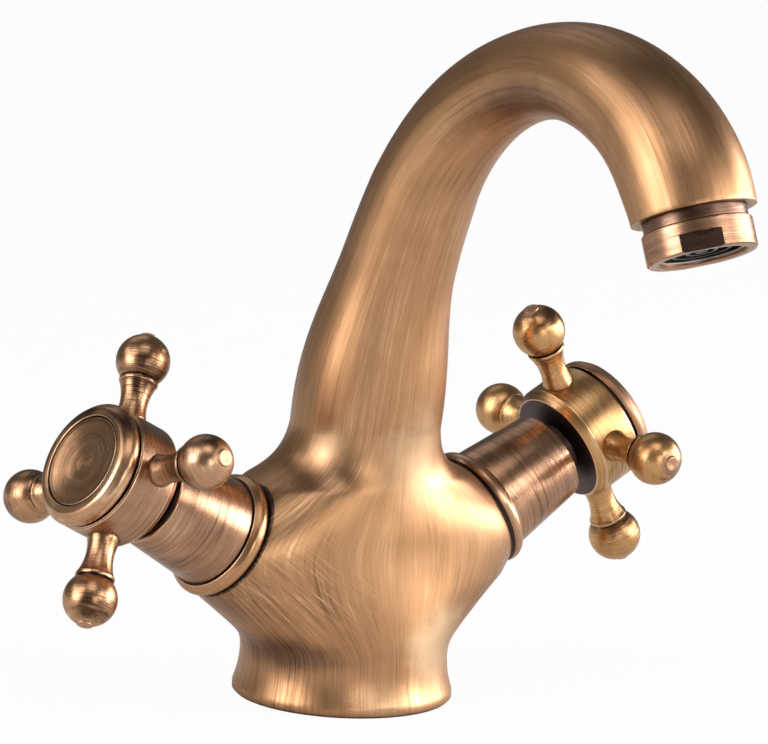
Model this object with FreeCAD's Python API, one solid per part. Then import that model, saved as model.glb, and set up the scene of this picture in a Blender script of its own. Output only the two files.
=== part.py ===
import FreeCAD, Part
import math
import os

# A deck-mounted basin mixer with two cross handles, in millimetres.
# The origin is the centre of the round foot's underside. +Z is up, the spout reaches towards -Y,
# and the two arms with the handles spread along -X (hot) and +X (cold).

# ---------------------------------------------------------------- fits, and how far cutters run on
thread_clearance = 0.05
running_clearance = 0.05
loose_clearance = 0.1
close_clearance = 0.02
overrun = 1.0

# ---------------------------------------------------------------- casting: foot, shoulders, neck
foot_radius = 24.5
foot_height = 2.0
foot_rounding = 0.6
waist_radius = 23.1
waist_height = 10.0
shoulder_start = 13.3
shoulder_softness = 2.0
shoulder_depth = 21.3
shoulder_fall_length = 3.6
neck_root_height = 62.0
neck_root_radius = 16.7
neck_lean = 2.5

# ---------------------------------------------------------------- arms
arm_slope = 28.0
arm_root_height = 20.24
arm_length = 38.2
arm_radius = 13.5

# ---------------------------------------------------------------- spout centreline: four tangent arcs
# each is a radius and the turning angle at its end, counted from straight up
spout_start_height = 42.0
neck_bend_radius = 164.2
neck_bend_end = 26.9
rise_bend_radius = 62.0
rise_bend_end = 72.4
crown_bend_radius = 49.8
crown_bend_end = 115.1
nose_bend_radius = 37.6
nose_bend_end = 156.0

# spout radii, and how the tube thins towards the throat and swells again to the nose:
# turning angle along the spout, share of the way from the throat's radius to the wide one
neck_foot_radius = 16.3
throat_radius = 10.0
nose_radius = 13.45
mouth_radius = 13.2
neck_taper = ((8.0, 1.0), (11.0, 0.79), (15.0, 0.60), (21.0, 0.41), (30.0, 0.24), (44.0, 0.12), (66.0, 0.0))
nose_swell = ((81.0, 0.06), (95.0, 0.32), (110.0, 0.61), (128.0, 0.87), (143.0, 1.0))
spout_section_count = 22

# ---------------------------------------------------------------- waterways and underside
spout_bore_radius = 6.8
chamber_radius = 11.0
chamber_floor = 32.5
chamber_height = 11.5
recess_radius = 19.0
recess_depth = 8.0
gasket_inner_radius = 20.6
gasket_outer_radius = 23.2
gasket_thickness = 1.8
inlet_offset = 8.5
inlet_thread_radius = 4.5
inlet_thread_depth = 12.0
inlet_bore_radius = 3.5
stud_offset = 13.0
stud_thread_radius = 3.4
stud_thread_depth = 12.0
chamber_roof_height = 5.5
port_radius = 4.2
port_length = 8.0

# ---------------------------------------------------------------- headparts, placed along the arm
seat_distance = 14.0
valve_bore_radius = 9.4
valve_thread_radius = 10.2
valve_thread_length = 11.2
thread_runout = 0.3
cartridge_end_gap = 1.0
cartridge_radius = 8.6
cartridge_chamber_radius = 7.2
cartridge_chamber_length = 15.0
flange_gasket_thickness = 0.7
flange_radius = 11.6
flange_thickness = 1.6
hex_across_flats = 19.0
hex_height = 5.0
sleeve_thread_radius = 9.0
cartridge_top_gap = 4.2
window_height = 4.5
window_width = 7.0
window_margin = 1.0
seal_inner_radius = 4.3
seal_thickness = 3.5
fixed_disc_thickness = 3.0
moving_disc_thickness = 3.0
disc_port_inner_radius = 1.6
disc_port_outer_radius = 5.6
disc_port_angle = 80.0
spindle_radius = 4.0
spindle_flange_radius = 5.6
spindle_flange_thickness = 1.2
spindle_stem_radius = 3.0
drive_bar_width = 5.0
drive_bar_height = 4.2
drive_slot_depth = 1.0
spline_chamfer_length = 0.8
spindle_web = 1.8
slide_washer_thickness = 0.6
slide_washer_radius = 6.6
o_ring_section_radius = 0.53
o_ring_count = 2
o_ring_spacing = 4.5
o_ring_groove_width = 1.6
stop_pocket_depth = 3.0
stop_pocket_radius = 6.5
stop_hub_radius = 4.9
stop_lug_angle = 50.0
stop_spare_angle = 1.0
stop_sector_inner_radius = 2.0
stop_flat_distance = 3.3
clip_thickness = 0.8
clip_radius = 5.6
clip_groove_depth = 0.7
clip_gap_angle = 60.0
spline_tooth_count = 20
spline_lead = 0.5
spline_tip_radius = 3.9
spline_tooth_depth = 0.45

# ---------------------------------------------------------------- collar ring and bonnet sleeve
ring_width = 4.0
ring_foot_radius = 13.2
ring_bead_radius = 14.2
ring_top_radius = 12.9
ring_foot_length = 0.4
ring_shoulder = 0.35
sleeve_length = 20.0
sleeve_wide_radius = 12.4
sleeve_narrow_radius = 10.6
sleeve_hex_bore_radius = 11.2
sleeve_hex_bore_depth = 3.8
sleeve_land_length = 6.0
sleeve_bore_radius = 9.2
sleeve_edge = 0.35

# ---------------------------------------------------------------- cross handle
handle_gap = 3.3
hub_radius = 14.1
hub_length = 12.2
hub_bevel = 1.35
hub_bevel_length = 1.9
hub_edge = 0.4
hub_boss_radius = 6.2
hub_boss_length = 8.3
hub_face_bore_radius = 11.0
hub_face_bore_depth = 3.2
screw_pocket_radius = 4.2
screw_pocket_depth = 2.4
screw_shank_radius = 1.6
screw_head_radius = 3.6
screw_head_height = 2.2
screw_socket_width = 3.4
screw_socket_depth = 1.5
screw_length = 10.0
screw_hole_clearance = 0.3
screw_tip_gap = 1.5
screw_crown = 0.7
spoke_count = 4
spoke_root_radius = 3.6
spoke_waist_radius = 3.05
spoke_waist_place = 0.45
spoke_rim_radius = 4.3
spoke_rim_thickness = 0.75
spoke_groove_radius = 3.5
spoke_groove_width = 0.4
spoke_shank_radius = 1.9
spoke_shank_length = 5.4
spoke_seat_depth = 0.65
spoke_root_length = 0.7
spoke_edge = 0.15
spoke_ball_step = 0.2
ball_radius = 5.95
ball_circle_radius = 28.0
ball_nub_radius = 1.8
ball_nub_height = 0.45
ball_nub_dimple = 0.3
left_cross_angle = 20.6
right_cross_angle = 0.8
index_ring_gap = 0.7
index_neck_radius = 13.1
index_ring_height = 3.7
index_ring_dome = 2.6
index_lip_radius = 10.5
index_spigot_length = 2.6
index_bore_radius = 8.6
index_disc_thickness = 1.7
index_disc_dish = 0.9
index_disc_sink = 0.15
index_disc_side_gap = 0.25
index_edge = 0.15

# ---------------------------------------------------------------- aerator in the mouth of the spout
mouth_thread_radius = 10.4
mouth_thread_depth = 9.0
mouth_shoulder_radius = 8.4
mouth_shoulder_length = 2.0
aerator_thread_length = 8.0
aerator_neck_radius = 10.95
aerator_neck_length = 2.3
aerator_collar_radius = 11.6
aerator_collar_length = 6.6
aerator_face_gap = 0.15
aerator_edge = 0.35
aerator_bore_radius = 9.25
aerator_flat_distance = 10.72
aerator_flat_height = 3.9
aerator_flat_angle = 127.0
washer_thickness = 0.9
insert_recess = 0.9
insert_wall = 0.8
insert_grid_height = 3.0
insert_ring_pitch = 2.9
insert_ring_wall = 0.75
insert_rib_count = 6
insert_rib_width = 0.7
insert_ring_sink = 0.3
insert_rib_sink = 0.9
insert_centre_radius = 1.35
insert_plate_start = 2.0
insert_plate_thickness = 1.2
insert_hole_radius = 0.6
insert_hole_count = 12
insert_hole_circle = 0.6
insert_length = 13.6
screen_thickness = 0.5
screen_hole_radius = 0.45
screen_row_count = 3
screen_row_pitch = 2.0
screen_holes_per_row = 6

# ---------------------------------------------------------------- places that follow from the sizes
Vector = FreeCAD.Vector
Z_AXIS = Vector(0, 0, 1)
ORIGIN = Vector(0, 0, 0)
slope_cos = math.cos(math.radians(arm_slope))
slope_sin = math.sin(math.radians(arm_slope))
ring_centre_x = arm_length * slope_cos
ring_centre_height = arm_root_height + arm_length * slope_sin
ring_low_height = ring_centre_height - arm_radius * slope_cos
ring_top_height = ring_centre_height + arm_radius * slope_cos
sleeve_start = arm_length + ring_width
hub_start = sleeve_start + sleeve_length + handle_gap
spoke_height = hub_start + hub_length / 2
hub_end = hub_start + hub_length
boss_start = hub_start - hub_boss_length
cartridge_start = seat_distance + cartridge_end_gap
cartridge_end = boss_start - cartridge_top_gap
flange_start = arm_length + flange_gasket_thickness
chamber_end = cartridge_start + cartridge_chamber_length
stop_pocket_floor = cartridge_end - stop_pocket_depth
clip_start = cartridge_end + 2 * loose_clearance
clip_end = clip_start + clip_thickness
fixed_disc_start = seat_distance + seal_thickness
moving_disc_start = fixed_disc_start + fixed_disc_thickness + loose_clearance
drive_bar_start = moving_disc_start + moving_disc_thickness
spindle_flange_end = chamber_end - slide_washer_thickness - loose_clearance
screw_seat = hub_end - hub_face_bore_depth - screw_pocket_depth
spindle_end = screw_seat - spindle_web
spline_start = boss_start - spline_lead
quarter_turn = 90.0

os.makedirs("parts", exist_ok=True)


# ---------------------------------------------------------------- helpers
def blend(share):
    """A smooth step from 0 to 1."""
    return (1 - math.cos(math.pi * min(max(share, 0), 1))) / 2


def profile_point(point):
    """A point (radius, height) of a turned profile, in the XZ plane."""
    return Vector(point[0], 0, point[1])


def turned(start, *steps):
    """A solid turned about Z. A step is a point, or a pair (point passed, end point) for an arc."""
    edges = []
    here = start
    for step in steps + (start,):
        if isinstance(step[0], tuple):
            through, there = step
            arc = Part.Arc(profile_point(here), profile_point(through), profile_point(there))
            edges.append(arc.toShape())
        else:
            there = step
            edges.append(Part.LineSegment(profile_point(here), profile_point(there)).toShape())
        here = there
    return Part.Face(Part.Wire(edges)).revolve(ORIGIN, Z_AXIS, 360)


def tube(outer, inner, low, high):
    """A plain tube, or a rod where the inner radius is zero."""
    return turned((inner, low), (outer, low), (outer, high), (inner, high))


def rod(radius, low, high):
    return tube(radius, 0, low, high)


def sector(outer, inner, low, high, middle_angle, width_angle):
    """A slice of a tube, centred on an angle about Z."""
    face = Part.Face(Part.Wire([
        Part.LineSegment(Vector(inner, 0, low), Vector(outer, 0, low)).toShape(),
        Part.LineSegment(Vector(outer, 0, low), Vector(outer, 0, high)).toShape(),
        Part.LineSegment(Vector(outer, 0, high), Vector(inner, 0, high)).toShape(),
        Part.LineSegment(Vector(inner, 0, high), Vector(inner, 0, low)).toShape(),
    ]))
    face.rotate(ORIGIN, Z_AXIS, middle_angle - width_angle / 2)
    return face.revolve(ORIGIN, Z_AXIS, width_angle)


def block(size_x, size_y, low, high):
    """A block centred on Z."""
    return Part.makeBox(size_x, size_y, high - low, Vector(-size_x / 2, -size_y / 2, low))


def hexagon(across_flats, low, high):
    corner = across_flats / 2 / math.cos(math.radians(30))
    corners = [Vector(corner * math.cos(math.radians(60 * k)), corner * math.sin(math.radians(60 * k)), low)
               for k in range(7)]
    return Part.Face(Part.makePolygon(corners)).extrude(Vector(0, 0, high - low))


def turned_copies(shape, count, first_angle=0.0):
    """Copies of a shape spaced evenly about Z."""
    copies = []
    for k in range(count):
        copy = shape.copy()
        copy.rotate(ORIGIN, Z_AXIS, first_angle + 360.0 * k / count)
        copies.append(copy)
    return copies


def on_arm(side, shape):
    """Move a shape from the arm's own frame, Z along the arm, to its place on the left or right."""
    placed = shape.copy()
    placed.rotate(ORIGIN, Vector(0, 1, 0), side * (90 - arm_slope))
    placed.translate(Vector(0, 0, arm_root_height))
    return placed


def spout_point(turn):
    """The centreline's point and direction where it has turned by an angle from straight up."""
    bends = [(neck_bend_radius, neck_bend_end), (rise_bend_radius, rise_bend_end),
             (crown_bend_radius, crown_bend_end), (nose_bend_radius, nose_bend_end)]
    y, z, begun = -neck_lean, spout_start_height, 0.0
    for radius, end in bends:
        angle = math.radians(min(max(turn, begun), end))
        start = math.radians(begun)
        y += radius * (math.cos(angle) - math.cos(start))
        z += radius * (math.sin(angle) - math.sin(start))
        begun = end
    heading = math.radians(turn)
    return Vector(0, y, z), Vector(0, -math.sin(heading), math.cos(heading))


def oval_poles(centre, half_width, half_depth, turn):
    """The eight control points of an oval, from its +Y end round, tipped about X by a turn."""
    tip = math.radians(turn)
    across = Vector(half_width, 0, 0)
    along = Vector(0, half_depth * math.cos(tip), half_depth * math.sin(tip))
    steps = ((0, 1), (-1, 1), (-1, 0), (-1, -1), (0, -1), (1, -1), (1, 0), (1, 1))
    return [centre + across * x + along * y for x, y in steps]


def level_oval(height, half_width, half_depth):
    """A level oval of the casting, centred on the leaning line of the neck."""
    climb = (height - ring_centre_height) / (neck_root_height - ring_centre_height)
    above = max(height - spout_start_height, 0)
    bend = neck_bend_radius - math.sqrt(neck_bend_radius ** 2 - above ** 2)
    centre = Vector(0, -neck_lean * blend(climb) - bend, height)
    return oval_poles(centre, half_width, half_depth, 0)


def skinned(ovals):
    """A solid whose skin runs smoothly through ovals, each given by its eight control points."""
    places = [0.0]
    for before, after in zip(ovals, ovals[1:]):
        places.append(places[-1] + sum((b - a).Length for a, b in zip(before, after)) / len(before))
    columns = []
    for number in range(len(ovals[0])):
        column = Part.BSplineCurve()
        column.interpolate(Points=[row[number] for row in ovals], Parameters=places)
        columns.append(column)
    poles = [column.getPoles() for column in columns + columns[:1]]
    corner_weight = math.sqrt(0.5)
    weights = [[(1.0, corner_weight)[number % 2]] * len(row) for number, row in enumerate(poles)]
    skin = Part.BSplineSurface()
    skin.buildFromPolesMultsKnots(
        poles, [3, 2, 2, 2, 3], columns[0].getMultiplicities(), [0, 1, 2, 3, 4], columns[0].getKnots(),
        False, False, 2, columns[0].Degree, weights)
    side = skin.toShape()
    ends = [Part.Face(Part.Wire([skin.vIso(place).toShape()])) for place in (places[0], places[-1])]
    return Part.Solid(Part.makeShell([side] + ends))


def in_mouth(shape):
    """Move a shape from the mouth's own frame, Z along the flow, to the end of the spout."""
    centre, direction = spout_point(nose_bend_end)
    placed = shape.copy()
    placed.rotate(ORIGIN, Vector(1, 0, 0), nose_bend_end)
    placed.translate(centre)
    return placed


pieces = {}


def keep(name, shape):
    """Hold a finished piece under its own name."""
    pieces[name] = shape


# ---------------------------------------------------------------- body casting
def half_depth_at(height):
    """Half the casting's depth, front to back: foot, waist, shoulders, then the root of the neck."""
    if height < waist_height:
        return waist_law(height)
    if height < ring_centre_height:
        share = blend((height - shoulder_start) / (ring_centre_height - shoulder_start))
        return waist_radius + share * (shoulder_depth - waist_radius)
    share = blend((height - ring_centre_height) / (neck_root_height - ring_centre_height))
    return shoulder_depth + share * (neck_root_radius - shoulder_depth)


def arm_half_width(height):
    """Half the width of a level section whose outline passes through the arm's round end."""
    offset = (height - ring_centre_height) / slope_cos
    chord = math.sqrt(max(arm_radius ** 2 - offset ** 2, 0))
    edge_x = ring_centre_x - (height - ring_centre_height) * slope_sin / slope_cos
    return edge_x / math.sqrt(1 - (chord / half_depth_at(height)) ** 2)


def flare(height):
    """How far the shoulders have spread at a height: nothing at the waist, then a straight slope."""
    rise = height - shoulder_start
    return (rise + math.sqrt(rise ** 2 + shoulder_softness ** 2)) / 2


def waist_law(height):
    """Radius of the round foot's hollow curve, which is upright at the waist."""
    sweep = waist_height - foot_height
    step = foot_radius - waist_radius
    hollow_radius = (sweep ** 2 + step ** 2) / (2 * step)
    return waist_radius + hollow_radius - math.sqrt(hollow_radius ** 2 - (waist_height - height) ** 2)


def half_width_at(height):
    """Half the casting's width at a height, from the foot to the root of the neck."""
    if height < waist_height:
        return waist_law(height)
    if height < ring_low_height:
        share = (flare(height) - flare(waist_height)) / (flare(ring_low_height) - flare(waist_height))
        return waist_radius + share * (arm_half_width(ring_low_height) - waist_radius)
    if height < ring_top_height:
        return arm_half_width(height)
    rise = height - ring_top_height
    last_rise = neck_root_height - ring_top_height
    last = math.exp(-last_rise / shoulder_fall_length)
    left = math.exp(-rise / shoulder_fall_length) - last * rise / last_rise
    return neck_root_radius + left * (arm_half_width(ring_top_height) - neck_root_radius)


def spout_radius_law():
    """Smooth curve of the spout's radius against its turning angle."""
    foot_step = neck_foot_radius - throat_radius
    nose_step = nose_radius - throat_radius
    stations = [(turn, throat_radius + share * foot_step) for turn, share in neck_taper]
    stations += [(turn, throat_radius + share * nose_step) for turn, share in nose_swell]
    stations.append((nose_bend_end, mouth_radius))
    law = Part.BSplineCurve()
    law.interpolate([Vector(turn, radius, 0) for turn, radius in stations])
    return law


def casting_skin():
    """The outside: a turned foot, and one smooth skin of waist, shoulders, neck and swelling spout."""
    heights = []
    levels = (foot_height, waist_height, ring_low_height, ring_top_height, neck_root_height)
    for low, high, count in zip(levels, levels[1:], (4, 8, 10, 5)):
        heights += [low + (high - low) * number / count for number in range(count)]
    heights.append(neck_root_height)
    ovals = [level_oval(height, half_width_at(height), half_depth_at(height)) for height in heights]
    law = spout_radius_law()
    first, last = law.FirstParameter, law.LastParameter
    for number in range(1, spout_section_count + 1):
        station = law.value(first + (last - first) * number / spout_section_count)
        turn = min(station.x, nose_bend_end)
        ovals.append(oval_poles(spout_point(turn)[0], station.y, station.y, turn))
    edge = 0.3 * foot_rounding
    foot = turned(
        (0, 0), (foot_radius - foot_rounding, 0), ((foot_radius - edge, edge), (foot_radius, foot_rounding)),
        (foot_radius, foot_height), (0, foot_height))
    return skinned(ovals).fuse(foot)


def spout_bore():
    """The water channel, a round bore along the spout's centreline."""
    edges = []
    begun = 0.0
    for end in (neck_bend_end, rise_bend_end, crown_bend_end, nose_bend_end):
        start, passed, stop = (spout_point(turn)[0] for turn in (begun, (begun + end) / 2, end))
        edges.append(Part.Arc(start, passed, stop).toShape())
        begun = end
    mouth_profile = Part.Wire([Part.Circle(spout_point(0)[0], Z_AXIS, spout_bore_radius).toShape()])
    return Part.Wire(edges).makePipeShell([mouth_profile], True, False)


def mouth_cut():
    """The tapped seat for the aerator, a shoulder for its washer and the way into the bore."""
    return in_mouth(turned(
        (0, overrun), (mouth_thread_radius + thread_clearance, overrun),
        (mouth_thread_radius + thread_clearance, -mouth_thread_depth),
        (mouth_shoulder_radius, -mouth_thread_depth),
        (spout_bore_radius, -mouth_thread_depth - mouth_shoulder_length),
        (0, -mouth_thread_depth - mouth_shoulder_length)))


def arm_cut():
    """Valve seat, lower bore, tapped bore and everything beyond the arm's turned face."""
    thread = valve_thread_radius + thread_clearance
    bores = turned(
        (0, seat_distance - port_length), (port_radius, seat_distance - port_length),
        (port_radius, seat_distance), (valve_bore_radius, seat_distance),
        (valve_bore_radius, arm_length - valve_thread_length), (thread, arm_length - valve_thread_length),
        (thread, arm_length + overrun), (0, arm_length + overrun))
    beyond = rod(1.5 * arm_radius, arm_length, arm_length + arm_radius)
    return bores.fuse(beyond)


def underside_cut():
    """Recess, gasket groove, the two inlets and the tapped hole for the fixing stud."""
    cut = rod(recess_radius, -overrun, recess_depth)
    cut = cut.fuse(tube(gasket_outer_radius, gasket_inner_radius, -overrun, gasket_thickness))
    inlet_end = arm_root_height + inlet_offset * slope_sin / slope_cos
    for side in (-1, 1):
        inlet = rod(inlet_thread_radius, recess_depth - overrun, recess_depth + inlet_thread_depth)
        inlet = inlet.fuse(rod(inlet_bore_radius, recess_depth, inlet_end))
        inlet.translate(Vector(side * inlet_offset, 0, 0))
        cut = cut.fuse(inlet)
    stud = rod(stud_thread_radius, recess_depth - overrun, recess_depth + stud_thread_depth)
    stud.translate(Vector(0, stud_offset, 0))
    return cut.fuse(stud)


def body_casting():
    chamber_top = chamber_floor + chamber_height
    roof = chamber_top + chamber_roof_height
    chamber = turned((0, chamber_floor), (chamber_radius, chamber_floor), (chamber_radius, chamber_top),
                     (spout_bore_radius, roof), (0, roof))
    casting = casting_skin()
    for side in (-1, 1):
        casting = casting.cut(on_arm(side, arm_cut()))
    for hollow in (underside_cut(), chamber, spout_bore(), mouth_cut()):
        casting = casting.cut(hollow)
    return casting


keep("body_casting", body_casting())
keep("base_gasket", tube(gasket_outer_radius - loose_clearance, gasket_inner_radius + loose_clearance,
                         0, gasket_thickness - loose_clearance))


# ---------------------------------------------------------------- headpart pieces, in the arm's frame
def cartridge_body(side):
    """Brass barrel: valve chamber, thread, flange, hexagon, thread for the sleeve, stop pocket.

    The pocket opens from the closed lug's place towards the way that the handle opens.
    """
    thread_start = arm_length - valve_thread_length + thread_runout
    flange_end = flange_start + flange_thickness
    barrel = turned(
        (0, cartridge_start), (cartridge_radius, cartridge_start), (cartridge_radius, thread_start),
        (valve_thread_radius, thread_start), (valve_thread_radius, flange_start),
        (flange_radius, flange_start), (flange_radius, flange_end),
        (sleeve_thread_radius, flange_end), (sleeve_thread_radius, cartridge_end), (0, cartridge_end))
    barrel = barrel.fuse(hexagon(hex_across_flats, flange_end, flange_start + hex_height))
    barrel = barrel.cut(rod(cartridge_chamber_radius, cartridge_start - overrun, chamber_end))
    journal_radius = spindle_radius + running_clearance
    barrel = barrel.cut(rod(journal_radius, chamber_end - overrun, cartridge_end + overrun))
    mouth = cartridge_end + overrun
    sweep = quarter_turn + stop_lug_angle + 2 * stop_spare_angle
    middle = -side * quarter_turn / 2
    barrel = barrel.cut(rod(stop_hub_radius, stop_pocket_floor, mouth))
    barrel = barrel.cut(sector(stop_pocket_radius, stop_sector_inner_radius, stop_pocket_floor, mouth,
                               middle, sweep))
    window_top = chamber_end - window_margin
    window = block(3 * cartridge_radius, window_width, window_top - window_height, window_top)
    return barrel.cut(window)


def ceramic_disc(low, high, radius, port_middle):
    """A disc with two opposite ports shaped like slices."""
    disc = rod(radius, low, high)
    port = sector(disc_port_outer_radius, disc_port_inner_radius, low - overrun, high + overrun,
                  port_middle, disc_port_angle)
    for cut in turned_copies(port, 2):
        disc = disc.cut(cut)
    return disc


def moving_disc():
    """The turning disc, with a slot across its back for the spindle's drive bar."""
    disc_radius = cartridge_chamber_radius - loose_clearance
    disc = ceramic_disc(moving_disc_start, drive_bar_start, disc_radius, quarter_turn)
    slot = block(3 * disc_radius, drive_bar_width + loose_clearance, drive_bar_start - drive_slot_depth,
                 drive_bar_start + overrun)
    return disc.cut(slot)


def spindle():
    """Drive bar, stem, flange, journal with seal grooves, flats for the stop ring, splined end."""
    journal = turned(
        (0, drive_bar_start), (spindle_stem_radius, drive_bar_start),
        (spindle_stem_radius, spindle_flange_end - spindle_flange_thickness),
        (spindle_flange_radius, spindle_flange_end - spindle_flange_thickness),
        (spindle_flange_radius, spindle_flange_end), (spindle_radius, spindle_flange_end),
        (spindle_radius, spline_start), (spline_tip_radius, spline_start),
        (spline_tip_radius, spindle_end), (0, spindle_end))
    bar_reach = cartridge_chamber_radius - 2 * loose_clearance
    bar_length = 2 * math.sqrt(bar_reach ** 2 - (drive_bar_width / 2) ** 2)
    bar_low = drive_bar_start - drive_slot_depth + close_clearance
    shaft = journal.fuse(block(bar_length, drive_bar_width, bar_low, bar_low + drive_bar_height))
    beyond = spindle_radius + overrun
    groove_radius = spindle_radius - 2 * o_ring_section_radius - close_clearance
    for number in range(o_ring_count):
        middle = chamber_end + (number + 1) * o_ring_spacing
        shaft = shaft.cut(tube(beyond, groove_radius, middle - o_ring_groove_width / 2,
                               middle + o_ring_groove_width / 2))
    clip_floor = spindle_radius - clip_groove_depth
    shaft = shaft.cut(tube(beyond, clip_floor, clip_start - loose_clearance, clip_end + loose_clearance))
    flats = rod(beyond, stop_pocket_floor, cartridge_end)
    flats = flats.cut(block(2 * stop_flat_distance, 4 * spindle_radius, stop_pocket_floor, cartridge_end))
    shaft = shaft.cut(flats)
    notch_angle = 180.0 / spline_tooth_count
    notch = sector(beyond, spline_tip_radius - spline_tooth_depth, spline_start + spline_chamfer_length,
                   spindle_end + overrun, 0, notch_angle)
    for cut in turned_copies(notch, spline_tooth_count):
        shaft = shaft.cut(cut)
    screw_hole = rod(screw_shank_radius + close_clearance, spindle_end - screw_length, spindle_end + overrun)
    return shaft.cut(screw_hole)


def spindle_o_rings():
    """Two seals in the spindle's grooves."""
    rings = []
    middle_radius = spindle_radius - o_ring_section_radius - close_clearance / 2
    for number in range(o_ring_count):
        centre = Vector(0, 0, chamber_end + (number + 1) * o_ring_spacing)
        rings.append(Part.makeTorus(middle_radius, o_ring_section_radius, centre))
    return Part.makeCompound(rings)


def stop_ring():
    """Ring keyed to the spindle's flats, with the lug that meets the stops of the pocket."""
    low = stop_pocket_floor + loose_clearance
    high = cartridge_end
    lug_radius = stop_pocket_radius - loose_clearance
    ring = rod(stop_hub_radius - loose_clearance, low, high)
    ring = ring.fuse(sector(lug_radius, stop_sector_inner_radius, low, high, 0, stop_lug_angle))
    keyed_bore = rod(spindle_radius + close_clearance, low - overrun, high + overrun)
    key_width = 2 * (stop_flat_distance + close_clearance)
    flats = block(key_width, 4 * spindle_radius, low - overrun, high + overrun)
    return ring.cut(keyed_bore.common(flats))


def spindle_clip():
    """Open spring clip that keeps the spindle in the barrel."""
    inner = spindle_radius - clip_groove_depth + close_clearance
    clip = tube(clip_radius, inner, clip_start, clip_end)
    return clip.cut(sector(clip_radius + overrun, inner - overrun, clip_start - overrun, clip_end + overrun,
                           2 * quarter_turn, clip_gap_angle))


def collar_ring():
    """Turned bead between the casting and the sleeve."""
    bore = flange_radius + loose_clearance
    low = arm_length
    high = arm_length + ring_width
    bead_end = (ring_top_radius + ring_shoulder, high - ring_shoulder)
    return turned((bore, low), (ring_foot_radius, low), (ring_foot_radius, low + ring_foot_length),
                  ((ring_bead_radius, (low + high) / 2), bead_end), (ring_top_radius, high), (bore, high))


def bonnet_sleeve():
    """Tapered sleeve screwed on the barrel's upper thread."""
    low = sleeve_start
    high = sleeve_start + sleeve_length
    land_start = low + sleeve_hex_bore_depth
    land_end = land_start + sleeve_land_length
    land = sleeve_thread_radius + thread_clearance
    return turned(
        (sleeve_hex_bore_radius, low), (sleeve_wide_radius - sleeve_edge, low),
        (sleeve_wide_radius, low + sleeve_edge), (sleeve_narrow_radius, high - sleeve_edge),
        (sleeve_narrow_radius - sleeve_edge, high), (sleeve_bore_radius, high),
        (sleeve_bore_radius, land_end), (land, land_end), (land, land_start),
        (sleeve_hex_bore_radius, land_start))


# ---------------------------------------------------------------- handle pieces, in the arm's frame
def spoke_bores(cross_angle):
    """Seats and tapped holes for the spokes, as one set of cutters."""
    shank_end = hub_radius - spoke_seat_depth - spoke_shank_length
    cutter = rod(spoke_shank_radius + thread_clearance, shank_end - loose_clearance, hub_radius)
    cutter = cutter.fuse(rod(spoke_root_radius + loose_clearance, hub_radius - spoke_seat_depth,
                             hub_radius + overrun))
    cutter.rotate(ORIGIN, Vector(0, 1, 0), 90)
    cutter.translate(Vector(0, 0, spoke_height))
    return turned_copies(cutter, spoke_count, cross_angle)


def handle_hub(cross_angle):
    """Round hub: boss with the splined socket, screw pocket, threaded bore for the index ring."""
    hub = turned(
        (0, boss_start), (hub_boss_radius, boss_start), (hub_boss_radius, hub_start),
        (hub_radius - hub_bevel, hub_start), (hub_radius, hub_start + hub_bevel_length),
        (hub_radius, hub_end - hub_edge), (hub_radius - hub_edge, hub_end),
        (hub_face_bore_radius, hub_end), (hub_face_bore_radius, hub_end - hub_face_bore_depth),
        (screw_pocket_radius, hub_end - hub_face_bore_depth), (screw_pocket_radius, screw_seat),
        (0, screw_seat))
    socket_radius = spline_tip_radius + thread_clearance
    hub = hub.cut(rod(socket_radius, boss_start - overrun, spindle_end + loose_clearance))
    hub = hub.cut(rod(screw_shank_radius + screw_hole_clearance, boss_start, hub_end))
    for cutter in spoke_bores(cross_angle):
        hub = hub.cut(cutter)
    return hub


def spoke():
    """One turned spoke along Z: shank, flared neck with its rim, groove, ball and end nub."""
    root = hub_radius - spoke_seat_depth + close_clearance
    waist = root + spoke_waist_place * (ball_circle_radius - root - ball_radius)
    ball_edge = spoke_rim_radius - spoke_ball_step
    groove_end = ball_circle_radius - math.sqrt(ball_radius ** 2 - ball_edge ** 2)
    groove_start = groove_end - spoke_groove_width
    rim_start = groove_start - spoke_rim_thickness
    nub_base = ball_circle_radius + math.sqrt(ball_radius ** 2 - ball_nub_radius ** 2)
    nub_end = nub_base + ball_nub_height
    return turned(
        (0, root - spoke_shank_length), (spoke_shank_radius, root - spoke_shank_length),
        (spoke_shank_radius, root), (spoke_root_radius, root), (spoke_root_radius, root + spoke_root_length),
        ((spoke_waist_radius, waist), (spoke_rim_radius - spoke_edge, rim_start)),
        (spoke_rim_radius, rim_start + spoke_edge), (spoke_rim_radius, groove_start),
        (spoke_groove_radius, groove_start), (spoke_groove_radius, groove_end), (ball_edge, groove_end),
        ((ball_radius, ball_circle_radius), (ball_nub_radius, nub_base)),
        (ball_nub_radius, nub_end - spoke_edge), (ball_nub_radius - spoke_edge, nub_end),
        (ball_nub_radius / 2, nub_end), (0, nub_end - ball_nub_dimple))


def handle_screw():
    """Pan-head screw with a hexagon socket, which holds the hub on the spindle."""
    crown = screw_seat + screw_head_height
    screw = turned(
        (0, spindle_end - screw_length + screw_tip_gap),
        (screw_shank_radius, spindle_end - screw_length + screw_tip_gap),
        (screw_shank_radius, screw_seat), (screw_head_radius, screw_seat),
        (screw_head_radius, crown - screw_crown), (screw_head_radius - screw_crown, crown), (0, crown))
    return screw.cut(hexagon(screw_socket_width, crown - screw_socket_depth, crown + overrun))


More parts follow.
